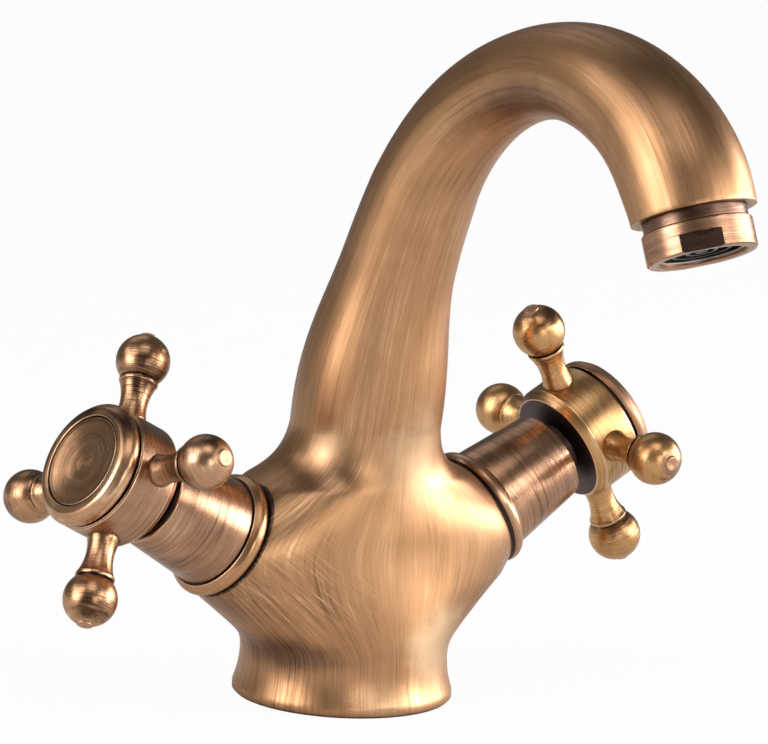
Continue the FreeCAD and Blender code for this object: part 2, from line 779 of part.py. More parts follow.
def index_ring():
    """Domed ring screwed in the hub's face, round the index disc."""
    neck = hub_end + close_clearance
    low = hub_end + index_ring_gap
    high = low + index_ring_height
    seat = high - index_disc_thickness - index_disc_sink
    spigot = hub_face_bore_radius - thread_clearance
    side_end = (hub_radius - 0.35 * index_ring_dome, low + 0.75 * index_ring_height)
    return turned(
        (index_bore_radius, hub_end - index_spigot_length), (spigot, hub_end - index_spigot_length),
        (spigot, neck), (index_neck_radius, neck), (index_neck_radius, low),
        (hub_radius - 0.12 * index_ring_dome, low), ((hub_radius, low + 0.3 * index_ring_height), side_end),
        ((hub_radius - 0.65 * index_ring_dome, high - index_edge), (hub_radius - index_ring_dome, high)),
        (index_lip_radius + index_edge, high), (index_lip_radius, high - index_edge),
        (index_lip_radius, seat), (index_bore_radius, seat))


def index_disc():
    """Slightly dished plain disc pressed in the index ring."""
    high = hub_end + index_ring_gap + index_ring_height - index_disc_sink
    low = high - index_disc_thickness + close_clearance
    edge = index_lip_radius - index_disc_side_gap
    dish_edge = edge - index_edge
    dish_radius = (dish_edge ** 2 + index_disc_dish ** 2) / (2 * index_disc_dish)
    blank = turned((0, low), (edge, low), (edge, high - index_edge), (dish_edge, high), (0, high))
    return blank.cut(Part.makeSphere(dish_radius, Vector(0, 0, high - index_disc_dish + dish_radius)))


def arm_pieces(side_name, side, cross_angle):
    """All pieces of one arm: headpart, ring, sleeve and cross handle."""
    seal_radius = cartridge_chamber_radius - running_clearance
    washer_low = chamber_end - slide_washer_thickness
    straight = {
        "flange_gasket": tube(flange_radius, valve_thread_radius + loose_clearance, arm_length, flange_start),
        "cartridge_body": cartridge_body(side),
        "seat_seal": tube(seal_radius, seal_inner_radius, seat_distance, fixed_disc_start),
        "fixed_disc": ceramic_disc(fixed_disc_start, fixed_disc_start + fixed_disc_thickness, seal_radius, 0),
        "moving_disc": moving_disc(),
        "slide_washer": tube(slide_washer_radius, spindle_radius + loose_clearance, washer_low, chamber_end),
        "spindle": spindle(),
        "spindle_o_rings": spindle_o_rings(),
        "stop_ring": stop_ring(),
        "spindle_clip": spindle_clip(),
        "collar_ring": collar_ring(),
        "bonnet_sleeve": bonnet_sleeve(),
        "handle_hub": handle_hub(cross_angle),
        "handle_screw": handle_screw(),
        "index_ring": index_ring(),
        "index_disc": index_disc(),
    }
    for name, shape in straight.items():
        keep(side_name + "_" + name, on_arm(side, shape))
    laid = spoke()
    laid.rotate(ORIGIN, Vector(0, 1, 0), 90)
    laid.translate(Vector(0, 0, spoke_height))
    for number, shape in enumerate(turned_copies(laid, spoke_count, cross_angle), 1):
        keep(side_name + "_spoke_" + str(number), on_arm(side, shape))


arm_pieces("left", -1, left_cross_angle)
arm_pieces("right", 1, right_cross_angle)


# ---------------------------------------------------------------- aerator, in the mouth's frame
collar_start = aerator_face_gap + aerator_neck_length
collar_end = collar_start + aerator_collar_length
insert_end = collar_end - insert_recess
insert_start = insert_end - insert_length


def aerator_housing():
    """Threaded shell with a relief neck and a collar with two spanner flats."""
    shell = turned(
        (aerator_bore_radius, -aerator_thread_length), (mouth_thread_radius, -aerator_thread_length),
        (mouth_thread_radius, aerator_face_gap), (aerator_neck_radius, aerator_face_gap),
        (aerator_neck_radius, collar_start), (aerator_collar_radius - aerator_edge, collar_start),
        (aerator_collar_radius, collar_start + aerator_edge),
        (aerator_collar_radius, collar_end - aerator_edge),
        (aerator_collar_radius - aerator_edge, collar_end), (aerator_bore_radius + aerator_edge, collar_end),
        (aerator_bore_radius, collar_end - aerator_edge))
    for angle in (aerator_flat_angle, aerator_flat_angle + 2 * quarter_turn):
        flat = Part.makeBox(aerator_collar_radius, 4 * aerator_collar_radius, aerator_flat_height + overrun,
                            Vector(aerator_flat_distance, -2 * aerator_collar_radius,
                                   collar_end - aerator_flat_height))
        flat.rotate(ORIGIN, Z_AXIS, angle)
        shell = shell.cut(flat)
    return shell


def aerator_insert():
    """Moulded insert: sleeve, plate with a ring of jets, outlet grid of rings and ribs."""
    outer = aerator_bore_radius - running_clearance
    insert = tube(outer, outer - insert_wall, insert_start, insert_end)
    grid_start = insert_end - insert_grid_height
    grid_end = insert_end - insert_ring_sink
    rib_length = outer - insert_wall / 2
    ring_outer = outer - insert_ring_pitch
    while ring_outer > insert_ring_pitch:
        insert = insert.fuse(tube(ring_outer, ring_outer - insert_ring_wall, grid_start, grid_end))
        ring_outer -= insert_ring_pitch
    insert = insert.fuse(rod(insert_centre_radius, grid_start, grid_end))
    rib = Part.makeBox(rib_length, insert_rib_width, insert_grid_height - insert_rib_sink,
                       Vector(0, -insert_rib_width / 2, grid_start))
    for copy in turned_copies(rib, insert_rib_count):
        insert = insert.fuse(copy)
    plate_start = insert_start + insert_plate_start
    plate_end = plate_start + insert_plate_thickness
    plate = rod(rib_length, plate_start, plate_end)
    jet = rod(insert_hole_radius, plate_start - overrun, plate_end + overrun)
    jet.translate(Vector(insert_hole_circle * outer, 0, 0))
    for cut in turned_copies(jet, insert_hole_count):
        plate = plate.cut(cut)
    return insert.fuse(plate)


def aerator_screen():
    """Thin inlet screen with rings of holes, on top of the insert."""
    low = insert_start - screen_thickness - close_clearance
    screen = rod(aerator_bore_radius - running_clearance, low, low + screen_thickness)
    for row in range(1, screen_row_count + 1):
        hole = rod(screen_hole_radius, low - overrun, low + screen_thickness + overrun)
        hole.translate(Vector(row * screen_row_pitch, 0, 0))
        for cut in turned_copies(hole, round(row * screen_holes_per_row)):
            screen = screen.cut(cut)
    return screen


keep("aerator_housing", in_mouth(aerator_housing()))
keep("aerator_insert", in_mouth(aerator_insert()))
keep("aerator_screen", in_mouth(aerator_screen()))
keep("aerator_washer", in_mouth(tube(mouth_thread_radius - loose_clearance, mouth_shoulder_radius,
                                     -aerator_thread_length - washer_thickness, -aerator_thread_length)))

# ---------------------------------------------------------------- write each piece to its own file
for name, shape in pieces.items():
    if not shape.isValid():
        print("not valid:", name)
    shape.exportStep("parts/" + name + ".step")
    box = shape.BoundBox
    print("%-24s solids %d volume %9.1f  x %7.2f %7.2f  y %7.2f %7.2f  z %7.2f %7.2f" % (
        name, len(shape.Solids), shape.Volume, box.XMin, box.XMax, box.YMin, box.YMax, box.ZMin, box.ZMax))
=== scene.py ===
# %% [markdown]
# # A cross handle basin tap in antique brass
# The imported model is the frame: it fixes every size and place. Hidden pieces are shown as they come from
# the frame. The pieces that the eye rests on are made again here as clean meshes, because turned and cast
# surfaces need even faces, softened edges, and a record of how they were brushed or turned.

# %% Load the frame
import bpy
import bmesh
import math
from mathutils import Matrix, Vector


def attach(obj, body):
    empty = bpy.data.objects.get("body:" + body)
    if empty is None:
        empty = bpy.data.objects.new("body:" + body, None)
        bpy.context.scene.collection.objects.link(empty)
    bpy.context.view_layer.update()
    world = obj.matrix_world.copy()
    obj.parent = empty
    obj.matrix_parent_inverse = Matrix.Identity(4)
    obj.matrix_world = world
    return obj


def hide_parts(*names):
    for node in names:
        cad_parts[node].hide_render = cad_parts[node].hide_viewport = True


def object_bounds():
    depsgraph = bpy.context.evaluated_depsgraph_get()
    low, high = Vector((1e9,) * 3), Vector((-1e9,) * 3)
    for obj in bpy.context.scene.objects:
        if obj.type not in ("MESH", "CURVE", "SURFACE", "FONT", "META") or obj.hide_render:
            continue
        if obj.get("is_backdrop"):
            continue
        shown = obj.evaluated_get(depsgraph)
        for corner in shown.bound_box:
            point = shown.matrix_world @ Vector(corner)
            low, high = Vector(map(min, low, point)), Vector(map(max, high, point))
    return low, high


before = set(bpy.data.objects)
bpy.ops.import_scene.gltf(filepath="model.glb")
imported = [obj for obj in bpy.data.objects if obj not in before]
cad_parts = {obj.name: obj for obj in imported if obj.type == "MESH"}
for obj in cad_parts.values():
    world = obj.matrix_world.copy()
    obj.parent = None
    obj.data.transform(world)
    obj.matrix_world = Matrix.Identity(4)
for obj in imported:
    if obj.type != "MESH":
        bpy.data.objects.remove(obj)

cad_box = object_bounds()
MM = 0.001

# %% [markdown]
# ## Sizes
# Sizes are in millimetres, as on a workshop drawing, and become metres when a piece is placed. What several
# pieces share stands here, and the rest beside its piece. Each bend of the spout is a radius, and the turn
# from upright, in degrees, at which it ends.

# %% Sizes of the casting
foot_radius = 24.5
foot_height = 2.0
foot_rounding = 0.6
waist_radius = 23.1
waist_height = 10.0
shoulder_start = 13.3
shoulder_softness = 2.0
shoulder_depth = 21.3
shoulder_fall = 3.6
neck_root_height = 62.0
neck_root_radius = 16.7
neck_lean = 2.5
spout_start_height = 42.0
bends = ((164.2, 26.9), (62.0, 72.4), (49.8, 115.1), (37.6, 156.0))
mouth_turn = bends[-1][1]
neck_foot_radius = 16.3
throat_radius = 10.0
nose_radius = 13.45
mouth_radius = 13.2

# %% Sizes along an arm
arm_slope = 28.0
arm_root_height = 20.24
arm_end = 38.2
arm_radius = 13.5
ring_width = 4.0
ring_end = arm_end + ring_width
sleeve_length = 20.0
sleeve_end = ring_end + sleeve_length
handle_gap = 3.3
hub_length = 12.2
hub_start = sleeve_end + handle_gap
hub_end = hub_start + hub_length
hub_radius = 14.1

# %% [markdown]
# ## Places
# Each arm of the real tap leans 28 degrees above level. A piece is made upright about its own axis, then
# one matrix lays its mesh along the arm, or at the spout's end. Turning the object instead would also do,
# but then its mesh would not lie where the real piece lies.

# %% Place matrices
slope_cos = math.cos(math.radians(arm_slope))
slope_sin = math.sin(math.radians(arm_slope))
sides = {"left": -1, "right": 1}


def arm_place(side):
    """Places a piece made along Z on the left (-1) or right (+1) arm, in millimetres."""
    turn = Matrix.Rotation(math.radians(side * (90 - arm_slope)), 4, "Y")
    return Matrix.Translation((0, 0, arm_root_height)) @ turn


def spout_point(turn):
    """The spout's centreline where it has turned by an angle, and the length of line up to there."""
    y, z, length, begun = -neck_lean, spout_start_height, 0.0, 0.0
    for radius, end in bends:
        angle = min(max(turn, begun), end)
        y += radius * (math.cos(math.radians(angle)) - math.cos(math.radians(begun)))
        z += radius * (math.sin(math.radians(angle)) - math.sin(math.radians(begun)))
        length += radius * math.radians(angle - begun)
        begun = end
    return Vector((0, y, z)), length


neck_top_turn = math.degrees(math.asin((neck_root_height - spout_start_height) / bends[0][0]))


def skin_length(turn):
    """How far up the skin a place on the spout is: the neck root's height, then along the centreline."""
    return neck_root_height + spout_point(turn)[1] - spout_point(neck_top_turn)[1]


mouth_tilt = Matrix.Rotation(math.radians(mouth_turn), 4, "X")
mouth_place = Matrix.Translation(spout_point(mouth_turn)[0]) @ mouth_tilt
print("mouth centre (mm):", [round(v, 2) for v in mouth_place.translation])

# %% [markdown]
# ## The casting's shape
# Foot, waist, shoulders, neck and spout are one hollow casting. Its skin will be a ring of edges, extruded
# from station to station: level ovals below the neck, and rings square to the spout's line above. Sculpting
# could give a like shape, but stations keep the sizes exact. Each law gives one measure at a height.

# %% Laws of the ovals
arm_x = arm_end * slope_cos
arm_z = arm_root_height + arm_end * slope_sin
arm_low = arm_z - arm_radius * slope_cos
arm_top = arm_z + arm_radius * slope_cos


def ease(share):
    """A smooth step from 0 to 1."""
    return (1 - math.cos(math.pi * min(max(share, 0), 1))) / 2


def waist_law(height):
    """Radius of the hollow curve between foot and waist."""
    drop, step = waist_height - foot_height, foot_radius - waist_radius
    hollow = (drop ** 2 + step ** 2) / (2 * step)
    return waist_radius + hollow - math.sqrt(hollow ** 2 - (waist_height - height) ** 2)


def half_depth(height):
    """Half the oval from front to back."""
    if height < waist_height:
        return waist_law(height)
    if height < arm_z:
        share = ease((height - shoulder_start) / (arm_z - shoulder_start))
        return waist_radius + share * (shoulder_depth - waist_radius)
    share = ease((height - arm_z) / (neck_root_height - arm_z))
    return shoulder_depth + share * (neck_root_radius - shoulder_depth)


def arm_half_width(height):
    """Half the width of the level oval that passes through the arm's round end."""
    offset = (height - arm_z) / slope_cos
    chord = math.sqrt(max(arm_radius ** 2 - offset ** 2, 0))
    edge = arm_x - (height - arm_z) * slope_sin / slope_cos
    return edge / math.sqrt(1 - (chord / half_depth(height)) ** 2)


def flare(height):
    """The shoulder's slope below the arms, with a soft start."""
    rise = height - shoulder_start
    return (rise + math.sqrt(rise ** 2 + shoulder_softness ** 2)) / 2


def half_width(height):
    """Half the oval from arm to arm."""
    if height < waist_height:
        return waist_law(height)
    if height < arm_low:
        share = (flare(height) - flare(waist_height)) / (flare(arm_low) - flare(waist_height))
        return waist_radius + share * (arm_half_width(arm_low) - waist_radius)
    if height < arm_top:
        return arm_half_width(height)
    rise, last_rise = height - arm_top, neck_root_height - arm_top
    left = math.exp(-rise / shoulder_fall) - math.exp(-last_rise / shoulder_fall) * rise / last_rise
    return neck_root_radius + left * (arm_half_width(arm_top) - neck_root_radius)


print("widest oval (mm):", round(2 * half_width(arm_low), 1), "at height", round(arm_low, 1))

# %% [markdown]
# The spout thins towards the throat and swells again to the nose. Each pair is a turn in degrees, and a
# share of the way from the throat's radius to the neck's or the nose's. A smooth cubic curve joins them.

# %% Radius of the spout
neck_taper = ((0.0, 1.05), (8.0, 1.0), (11.0, 0.79), (15.0, 0.60), (21.0, 0.41), (30.0, 0.24),
              (44.0, 0.12), (66.0, 0.0))
nose_swell = ((81.0, 0.06), (95.0, 0.32), (110.0, 0.61), (128.0, 0.87), (143.0, 1.0))
radii = [(turn, throat_radius + share * (neck_foot_radius - throat_radius)) for turn, share in neck_taper]
radii += [(turn, throat_radius + share * (nose_radius - throat_radius)) for turn, share in nose_swell]
radii.append((mouth_turn, mouth_radius))


def radius_slope(i):
    """The curve's slope at one of its points, from the points beside it."""
    before, after = radii[max(i - 1, 0)], radii[min(i + 1, len(radii) - 1)]
    return (after[1] - before[1]) / (after[0] - before[0])


def spout_radius(turn):
    """The spout's radius where its centreline has turned by an angle."""
    k = max(i for i in range(len(radii) - 1) if radii[i][0] <= max(turn, 0) or i == 0)
    (x0, y0), (x1, y1) = radii[k], radii[k + 1]
    width = x1 - x0
    t = (turn - x0) / width
    return ((2 * t ** 3 - 3 * t ** 2 + 1) * y0 + (t ** 3 - 2 * t ** 2 + t) * width * radius_slope(k)
            + (3 * t ** 2 - 2 * t ** 3) * y1 + (t ** 3 - t ** 2) * width * radius_slope(k + 1))


print("throat and nose (mm):", round(spout_radius(66), 2), round(spout_radius(143), 2))

# %% [markdown]
# ## Lathe work
# Rings, sleeves, hubs and spokes are turned on a lathe, and so they are here: half of the outline is a row
# of vertices, and spin carries it round the axis. Cylinders with loop cuts could do it too, but an outline
# keeps each groove and bead in one list. An arc is given by its start, a point passed, and its end.

# %% Arc of an outline


def sweep(start, through, end, steps=8):
    """Points of a round arc from start to end that passes through a point, without its start."""
    ax, ay = start
    bx, by = through
    cx, cy = end
    d = 2 * (ax * (by - cy) + bx * (cy - ay) + cx * (ay - by))
    a2, b2, c2 = ax * ax + ay * ay, bx * bx + by * by, cx * cx + cy * cy
    ox = (a2 * (by - cy) + b2 * (cy - ay) + c2 * (ay - by)) / d
    oy = (a2 * (cx - bx) + b2 * (ax - cx) + c2 * (bx - ax)) / d
    first = math.atan2(ay - oy, ax - ox)
    middle = (math.atan2(by - oy, bx - ox) - first) % math.tau
    last = (math.atan2(cy - oy, cx - ox) - first) % math.tau
    if middle > last:
        last -= math.tau
    radius = math.hypot(ax - ox, ay - oy)
    turns = [first + last * k / steps for k in range(1, steps + 1)]
    return [(ox + radius * math.cos(turn), oy + radius * math.sin(turn)) for turn in turns]


# %% [markdown]
# An edge of real brass is rubbed bright and is never quite sharp. Bevel gives each one a narrow round with
# a finish of its own. A Bevel modifier would round it too, but its faces could not be marked afterwards. A
# piece has up to four finishes: its own, the worn edge, the bath's dark with painted shade in gaps and
# undersides, and the flat end of a spoke.

# %% Worn edges and marked faces
worn_finish = 1
bath_and_shade_finish = 2
nub_finish = 3


def soften(bm, edges, width):
    """Rounds edges and gives the new narrow faces the worn finish."""
    made = bmesh.ops.bevel(bm, geom=edges, offset=width, offset_type="OFFSET", segments=2, profile=0.5,
                           affect="EDGES", material=-1, clamp_overlap=True)
    for face in made["faces"]:
        face.material_index = worn_finish


def sharp_edges(bm, degrees):
    """The edges where two faces meet at more than an angle."""
    limit = math.radians(degrees)
    return [e for e in bm.edges if len(e.link_faces) == 2 and e.calc_face_angle(0) > limit]


def mark(bm, finish, low=-math.inf, high=math.inf, inside=math.inf, outside=0.0):
    """Gives a finish to the faces between two heights and two distances from the axis."""
    for face in bm.faces:
        middle = face.calc_center_median()
        if low <= middle.z <= high and outside <= math.hypot(middle.x, middle.y) <= inside:
            face.material_index = finish


# %% [markdown]
# Before a piece is moved to its place, each vertex keeps its workshop coordinates in an attribute called
# grain. Object coordinates would point across the whole tap, but grain lets a finish follow the tool marks
# round each piece, wherever it points.

# %% Turn a piece and put it in its place


def turned_mesh(outline, steps=96, closed=True, edge=0.12):
    """A lathe piece about Z. An outline that starts and ends on the axis is left open there."""
    bm = bmesh.new()
    row = [bm.verts.new((r, 0, h)) for r, h in outline]
    wires = [bm.edges.new((a, b)) for a, b in zip(row, row[1:])]
    if closed:
        wires.append(bm.edges.new((row[-1], row[0])))
    bmesh.ops.spin(bm, geom=row + wires, cent=(0, 0, 0), axis=(0, 0, 1), dvec=(0, 0, 0),
                   angle=math.tau, steps=steps, use_merge=True, use_duplicate=False)
    bmesh.ops.remove_doubles(bm, verts=bm.verts, dist=1e-4)
    bmesh.ops.dissolve_degenerate(bm, edges=bm.edges, dist=1e-5)
    bmesh.ops.recalc_face_normals(bm, faces=bm.faces)
    soften(bm, sharp_edges(bm, 24), edge)
    return bm


def finish_piece(bm, name, place, body, node, finishes):
    """Keeps the workshop coordinates, moves the mesh to its place and makes the object."""
    grain = bm.verts.layers.float_vector.get("grain")
    if grain is None:
        grain = bm.verts.layers.float_vector.new("grain")
        for v in bm.verts:
            v[grain] = v.co
    bmesh.ops.transform(bm, matrix=Matrix.Scale(MM, 4) @ place, verts=bm.verts)
    for face in bm.faces:
        face.smooth = True
    mesh = bpy.data.meshes.new(name)
    bm.to_mesh(mesh)
    bm.free()
    mesh.set_sharp_from_angle(angle=math.radians(38))
    piece = bpy.data.objects.new(name, mesh)
    bpy.context.scene.collection.objects.link(piece)
    for finish in finishes:
        mesh.materials.append(finish)
    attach(piece, body)
    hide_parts(node)
    print(name, "faces", len(mesh.polygons))


# %% [markdown]
# ## Finishes
# The tap is antique brass: darkened in a bath, brushed back so that high places turn golden while the dark
# stays in lines and corners, then lacquered. An image texture could show that, but noise has no seams and
# keeps its detail at any distance. A finish is a tree of nodes, and each helper adds a node to it.

# %% Small node helpers


def new_material(name):
    material = bpy.data.materials.new(name)
    material.use_nodes = True
    tree = material.node_tree
    return material, tree, tree.nodes["Principled BSDF"]


def add(tree, kind, inputs=None, **settings):
    """Adds a node and sets its properties. An input gets a fixed value, or a link from another node."""
    node = tree.nodes.new(kind)
    for key, value in settings.items():
        setattr(node, key, value)
    for socket, given in (inputs or {}).items():
        if isinstance(given, bpy.types.NodeSocket):
            tree.links.new(given, node.inputs[socket])
        else:
            node.inputs[socket].default_value = given
    return node


def maths(tree, operation, first, second=0.0):
    return add(tree, "ShaderNodeMath", {0: first, 1: second}, operation=operation).outputs[0]


def mix_colour(tree, factor, first, second):
    return add(tree, "ShaderNodeMix", {0: factor, 6: first, 7: second}, data_type="RGBA").outputs[2]


def spread(tree, value, low, high, new_low, new_high):
    """Carries a value from one range to another, and stops at both ends."""
    ends = {0: value, 1: low, 2: high, 3: new_low, 4: new_high}
    return add(tree, "ShaderNodeMapRange", ends, clamp=True).outputs[0]


def noise(tree, vector, scale, detail=5.0, roughness=0.6, distortion=0.0):
    sockets = {"Vector": vector, "Scale": scale, "Detail": detail, "Roughness": roughness,
               "Distortion": distortion}
    return add(tree, "ShaderNodeTexNoise", sockets).outputs["Fac"]


def mapped(tree, vector, scale, turn=(0, 0, 0), move=(0, 0, 0)):
    """Stretches, turns and moves the coordinates that a pattern reads."""
    sockets = {"Vector": vector, "Location": move, "Rotation": turn, "Scale": scale}
    return add(tree, "ShaderNodeMapping", sockets, vector_type="POINT").outputs[0]


# %% [markdown]
# A finish asks where a point lies in its piece's workshop frame, in millimetres. A piece made here has that
# in its grain. For a piece shown from the frame, object coordinates are carried back by the matrix that
# would have placed it.

# %% Where a point lies in its piece


def grain_kept(tree):
    return add(tree, "ShaderNodeAttribute", attribute_name="grain").outputs["Vector"]


def grain_of_frame(place):
    back = place.inverted()

    def source(tree):
        coordinates = add(tree, "ShaderNodeTexCoord").outputs["Object"]
        return mapped(tree, coordinates, (1 / MM, 1 / MM, 1 / MM), tuple(back.to_euler()), back.translation)
    return source


# %% [markdown]
# A lathe tool marks rings round the axis. Their noise changes fast along the axis and slowly round it. The
# way round comes as a unit vector, so there is no seam where an angle would jump back to 0. Distance from
# the axis is counted with the height, so that a flat face gets circles, too.

# %% Ring lines of a turned piece
least_radius = 0.05
radius_share = 0.83


def away_from_axis(tree, x, y):
    """The distance of a point from the axis."""
    squares = [maths(tree, "MULTIPLY", part, part) for part in (x, y)]
    return maths(tree, "SQRT", maths(tree, "ADD", squares[0], squares[1]))


def ring_vector(tree, vector, across, around):
    """Coordinates for ring lines: their closeness per millimetre, and their change round the axis."""
    x, y, z = add(tree, "ShaderNodeSeparateXYZ", {0: vector}).outputs
    radius = away_from_axis(tree, x, y)
    safe = maths(tree, "MAXIMUM", radius, least_radius)
    along = maths(tree, "ADD", z, maths(tree, "MULTIPLY", radius, radius_share))
    unit_x, unit_y = [maths(tree, "DIVIDE", part, safe) for part in (x, y)]
    joined = {0: maths(tree, "MULTIPLY", along, across), 1: maths(tree, "MULTIPLY", unit_x, around),
              2: maths(tree, "MULTIPLY", unit_y, around)}
    return add(tree, "ShaderNodeCombineXYZ", joined).outputs[0]


# %% [markdown]
# Noise that is stretched along the brush's way gives fine and broad lines. The casting was brushed along
# its length, and turned pieces were polished as they spun. With a slow cloud of noise the lines say how
# far the dark is worn back, and a ramp turns that into colour.

# %% Brush lines and their colour
fine_stretch = (4.2, 4.2, 0.07)
broad_stretch = (0.9, 0.9, 0.02)
fine_share = 0.6
cloud_scale = 0.055
shade_places = (0.27, 0.5, 0.75)


def brush_lines(tree, grain, rings):
    """Fine and broad lines: rings on a turned piece, and otherwise streaks along the casting."""
    if rings:
        across, around = rings
        fine_way = ring_vector(tree, grain, across, around)
        broad_way = ring_vector(tree, grain, across / 4, around / 2)
    else:
        brush = add(tree, "ShaderNodeAttribute", attribute_name="brush").outputs["Vector"]
        fine_way = mapped(tree, brush, fine_stretch)
        broad_way = mapped(tree, brush, broad_stretch)
    return noise(tree, fine_way, 1.0, 7.0, 0.68), noise(tree, broad_way, 1.0, 4.0, 0.55)


def worn_colour(tree, grain, fine, broad, shades, blotch):
    """Dark, middle or light brass, after how far the bath is brushed back."""
    cloud = noise(tree, grain, cloud_scale, 3.0, 0.5, 0.6)
    worn = maths(tree, "ADD", maths(tree, "MULTIPLY", fine, fine_share),
                 maths(tree, "MULTIPLY", broad, 1 - fine_share))
    worn = maths(tree, "ADD", worn, maths(tree, "MULTIPLY", maths(tree, "SUBTRACT", cloud, 0.5), blotch))
    node = add(tree, "ShaderNodeValToRGB", {0: worn})
    node.color_ramp.interpolation = "EASE"
    stops = node.color_ramp.elements
    stops[0].position, stops[1].position = shade_places[0], shade_places[2]
    stops.new(shade_places[1])
    for stop, shade in zip(stops, shades):
        stop.color = (*shade, 1)
    return node.outputs[0]


# %% [markdown]
# One recipe makes every tone. The same fine lines drive colour, roughness and a slight bump, since on the
# real metal they are one thing. An ambient occlusion node darkens the corners: painted shade, together with
# the bath's dark that stays there, which saves painting them by hand on each piece. The coat on top is the
# lacquer.

# %% The antique brass recipe
bump_height = 0.09
corner_shade_share = 0.22
lacquer = 0.12
lacquer_roughness = 0.25


def antique_brass(name, shades, source=grain_kept, rings=(4.6, 1.1), roughness=(0.2, 0.36),
                  blotch=0.35, depth=0.5, corner=0.55, corner_reach=1.6, marks=None):
    """Brushed and lacquered antique brass. rings gives the ring lines' closeness (per mm) and their change
    round the axis. With None the lines run along the piece. marks is a function that lays a piece's own
    marks over the finish."""
    material, tree, shader = new_material(name)
    grain = source(tree)
    fine, broad = brush_lines(tree, grain, rings)
    colour = worn_colour(tree, grain, fine, broad, shades, blotch)
    height = fine
    if marks:
        colour, height = marks(tree, grain, fine, colour, shades)
    # Ambient occlusion darkens the colour in corners: painted shade, along with the bath's dark that stays
    # there.
    hidden = add(tree, "ShaderNodeAmbientOcclusion", {"Distance": corner_reach * MM}, samples=6)
    shade = spread(tree, hidden.outputs["AO"], 0.25, 0.95, corner, 0.0)
    colour = mix_colour(tree, shade, colour, (*[part * corner_shade_share for part in shades[0]], 1))
    tree.links.new(colour, shader.inputs["Base Color"])
    tree.links.new(spread(tree, fine, 0.3, 0.7, roughness[1], roughness[0]), shader.inputs["Roughness"])
    shader.inputs["Metallic"].default_value = 1.0
    shader.inputs["Coat Weight"].default_value = lacquer
    shader.inputs["Coat Roughness"].default_value = lacquer_roughness
    bump = add(tree, "ShaderNodeBump", {"Strength": depth, "Distance": bump_height * MM, "Height": height})
    tree.links.new(bump.outputs[0], shader.inputs["Normal"])
    return material


# %% [markdown]
# ## Painted shade and highlights of the casting
# Shade and light are painted into the casting's colour: dark where it lies in shade, in the waist, the
# throat, the neck's left root, under the left arm and behind the crown, and pale painted highlights where
# the lights catch it. Each such place is a soft cloud: a middle and a reach along three axes, of which the
# third is the way up the skin, and a strength. Vertex paint would do as well, but a cloud is one line to
# change.

# %% Painted shade and highlight clouds
painted_shade_tint = (0.095, 0.052, 0.042)
painted_highlight_tint = (0.95, 0.67, 0.42)
crown_length = skin_length(118)
throat_length = skin_length(80)
# Painted shade: each cloud darkens a place where the casting lies in shade.
shade_clouds = {
    "waist": ((-21, -8, 12.8), (24, 18, 5.6), 0.97),
    "left neck root": ((-17, -10, 52.0), (11, 11, 5.5), 0.65),
    "throat": ((-8.5, -6, throat_length), (9, 7, 32), 0.85),
    "crown": ((-6, 12, crown_length), (10, 6.5, 26), 0.4),
    "under the left arm": ((-36, -6, 26.0), (14, 14, 9), 0.45)}
# Painted highlights: each cloud lightens a place where a light catches the casting.
highlight_clouds = {
    "right shoulder": ((24, -15, 43.0), (10, 12, 9), 0.12),
    "right of the waist": ((10, -21, 14.5), (13, 11, 10), 0.8),
    "left edge of the neck": ((-16, -7, 60.0), (5, 6, 6), 0.4),
    "front neck root": ((4, -16, 58.0), (13, 9, 18), 0.4),
    "foot": ((-6, -23, 4.0), (9, 9, 5), 0.2)}


def cloud(tree, grain, middle, reach, strength):
    """A soft mask round a place, with a ragged edge."""
    shift = tuple(-m / r for m, r in zip(middle, reach))
    local = mapped(tree, grain, tuple(1 / r for r in reach), move=shift)
    away = add(tree, "ShaderNodeVectorMath", {0: local}, operation="LENGTH").outputs["Value"]
    ragged = maths(tree, "MULTIPLY", maths(tree, "SUBTRACT", noise(tree, grain, 0.16, 4.0), 0.5), 0.9)
    edges = {0: maths(tree, "ADD", away, ragged), 1: 0.15, 2: 1.1, 3: strength, 4: 0.0}
    return add(tree, "ShaderNodeMapRange", edges, interpolation_type="SMOOTHSTEP", clamp=True).outputs[0]


def painted_light_clouds(tree, grain, fine, colour):
    """Lays the painted shade, which stays darkest in the brush lines, and then the painted highlights."""
    in_lines = spread(tree, fine, 0.35, 0.62, 1.0, 0.62)
    for place in shade_clouds.values():
        mask = maths(tree, "MULTIPLY", cloud(tree, grain, *place), in_lines)
        colour = mix_colour(tree, mask, colour, (*painted_shade_tint, 1))
    for place in highlight_clouds.values():
        colour = mix_colour(tree, cloud(tree, grain, *place), colour, (*painted_highlight_tint, 1))
    return colour


# %% [markdown]
# Where an arm meets its collar ring, a thin dark line of painted shade marks the gap. It is worked out in
# the shader from the distance along the arm, so it follows the round end exactly. Marked faces would look
# jagged.

# %% Painted shade line at the arms' ends
gap_shade_tint = (0.02, 0.014, 0.013)
shade_line_width = 0.5


# Painted shade: a thin dark line in the gap where an arm meets its collar ring.
def arm_end_shade_line(tree, grain, colour):
    x, _, height = add(tree, "ShaderNodeSeparateXYZ", {0: grain}).outputs
    outward = maths(tree, "MULTIPLY", maths(tree, "ABSOLUTE", x), slope_cos)
    upward = maths(tree, "MULTIPLY", maths(tree, "SUBTRACT", height, arm_root_height), slope_sin)
    along_arm = maths(tree, "ADD", outward, upward)
    at_end = spread(tree, along_arm, arm_end - shade_line_width, arm_end - shade_line_width + 0.2, 0.0, 0.9)
    below_neck = spread(tree, height, neck_root_height, neck_root_height - 1, 0.0, 1.0)
    return mix_colour(tree, maths(tree, "MULTIPLY", at_end, below_neck), colour, (*gap_shade_tint, 1))


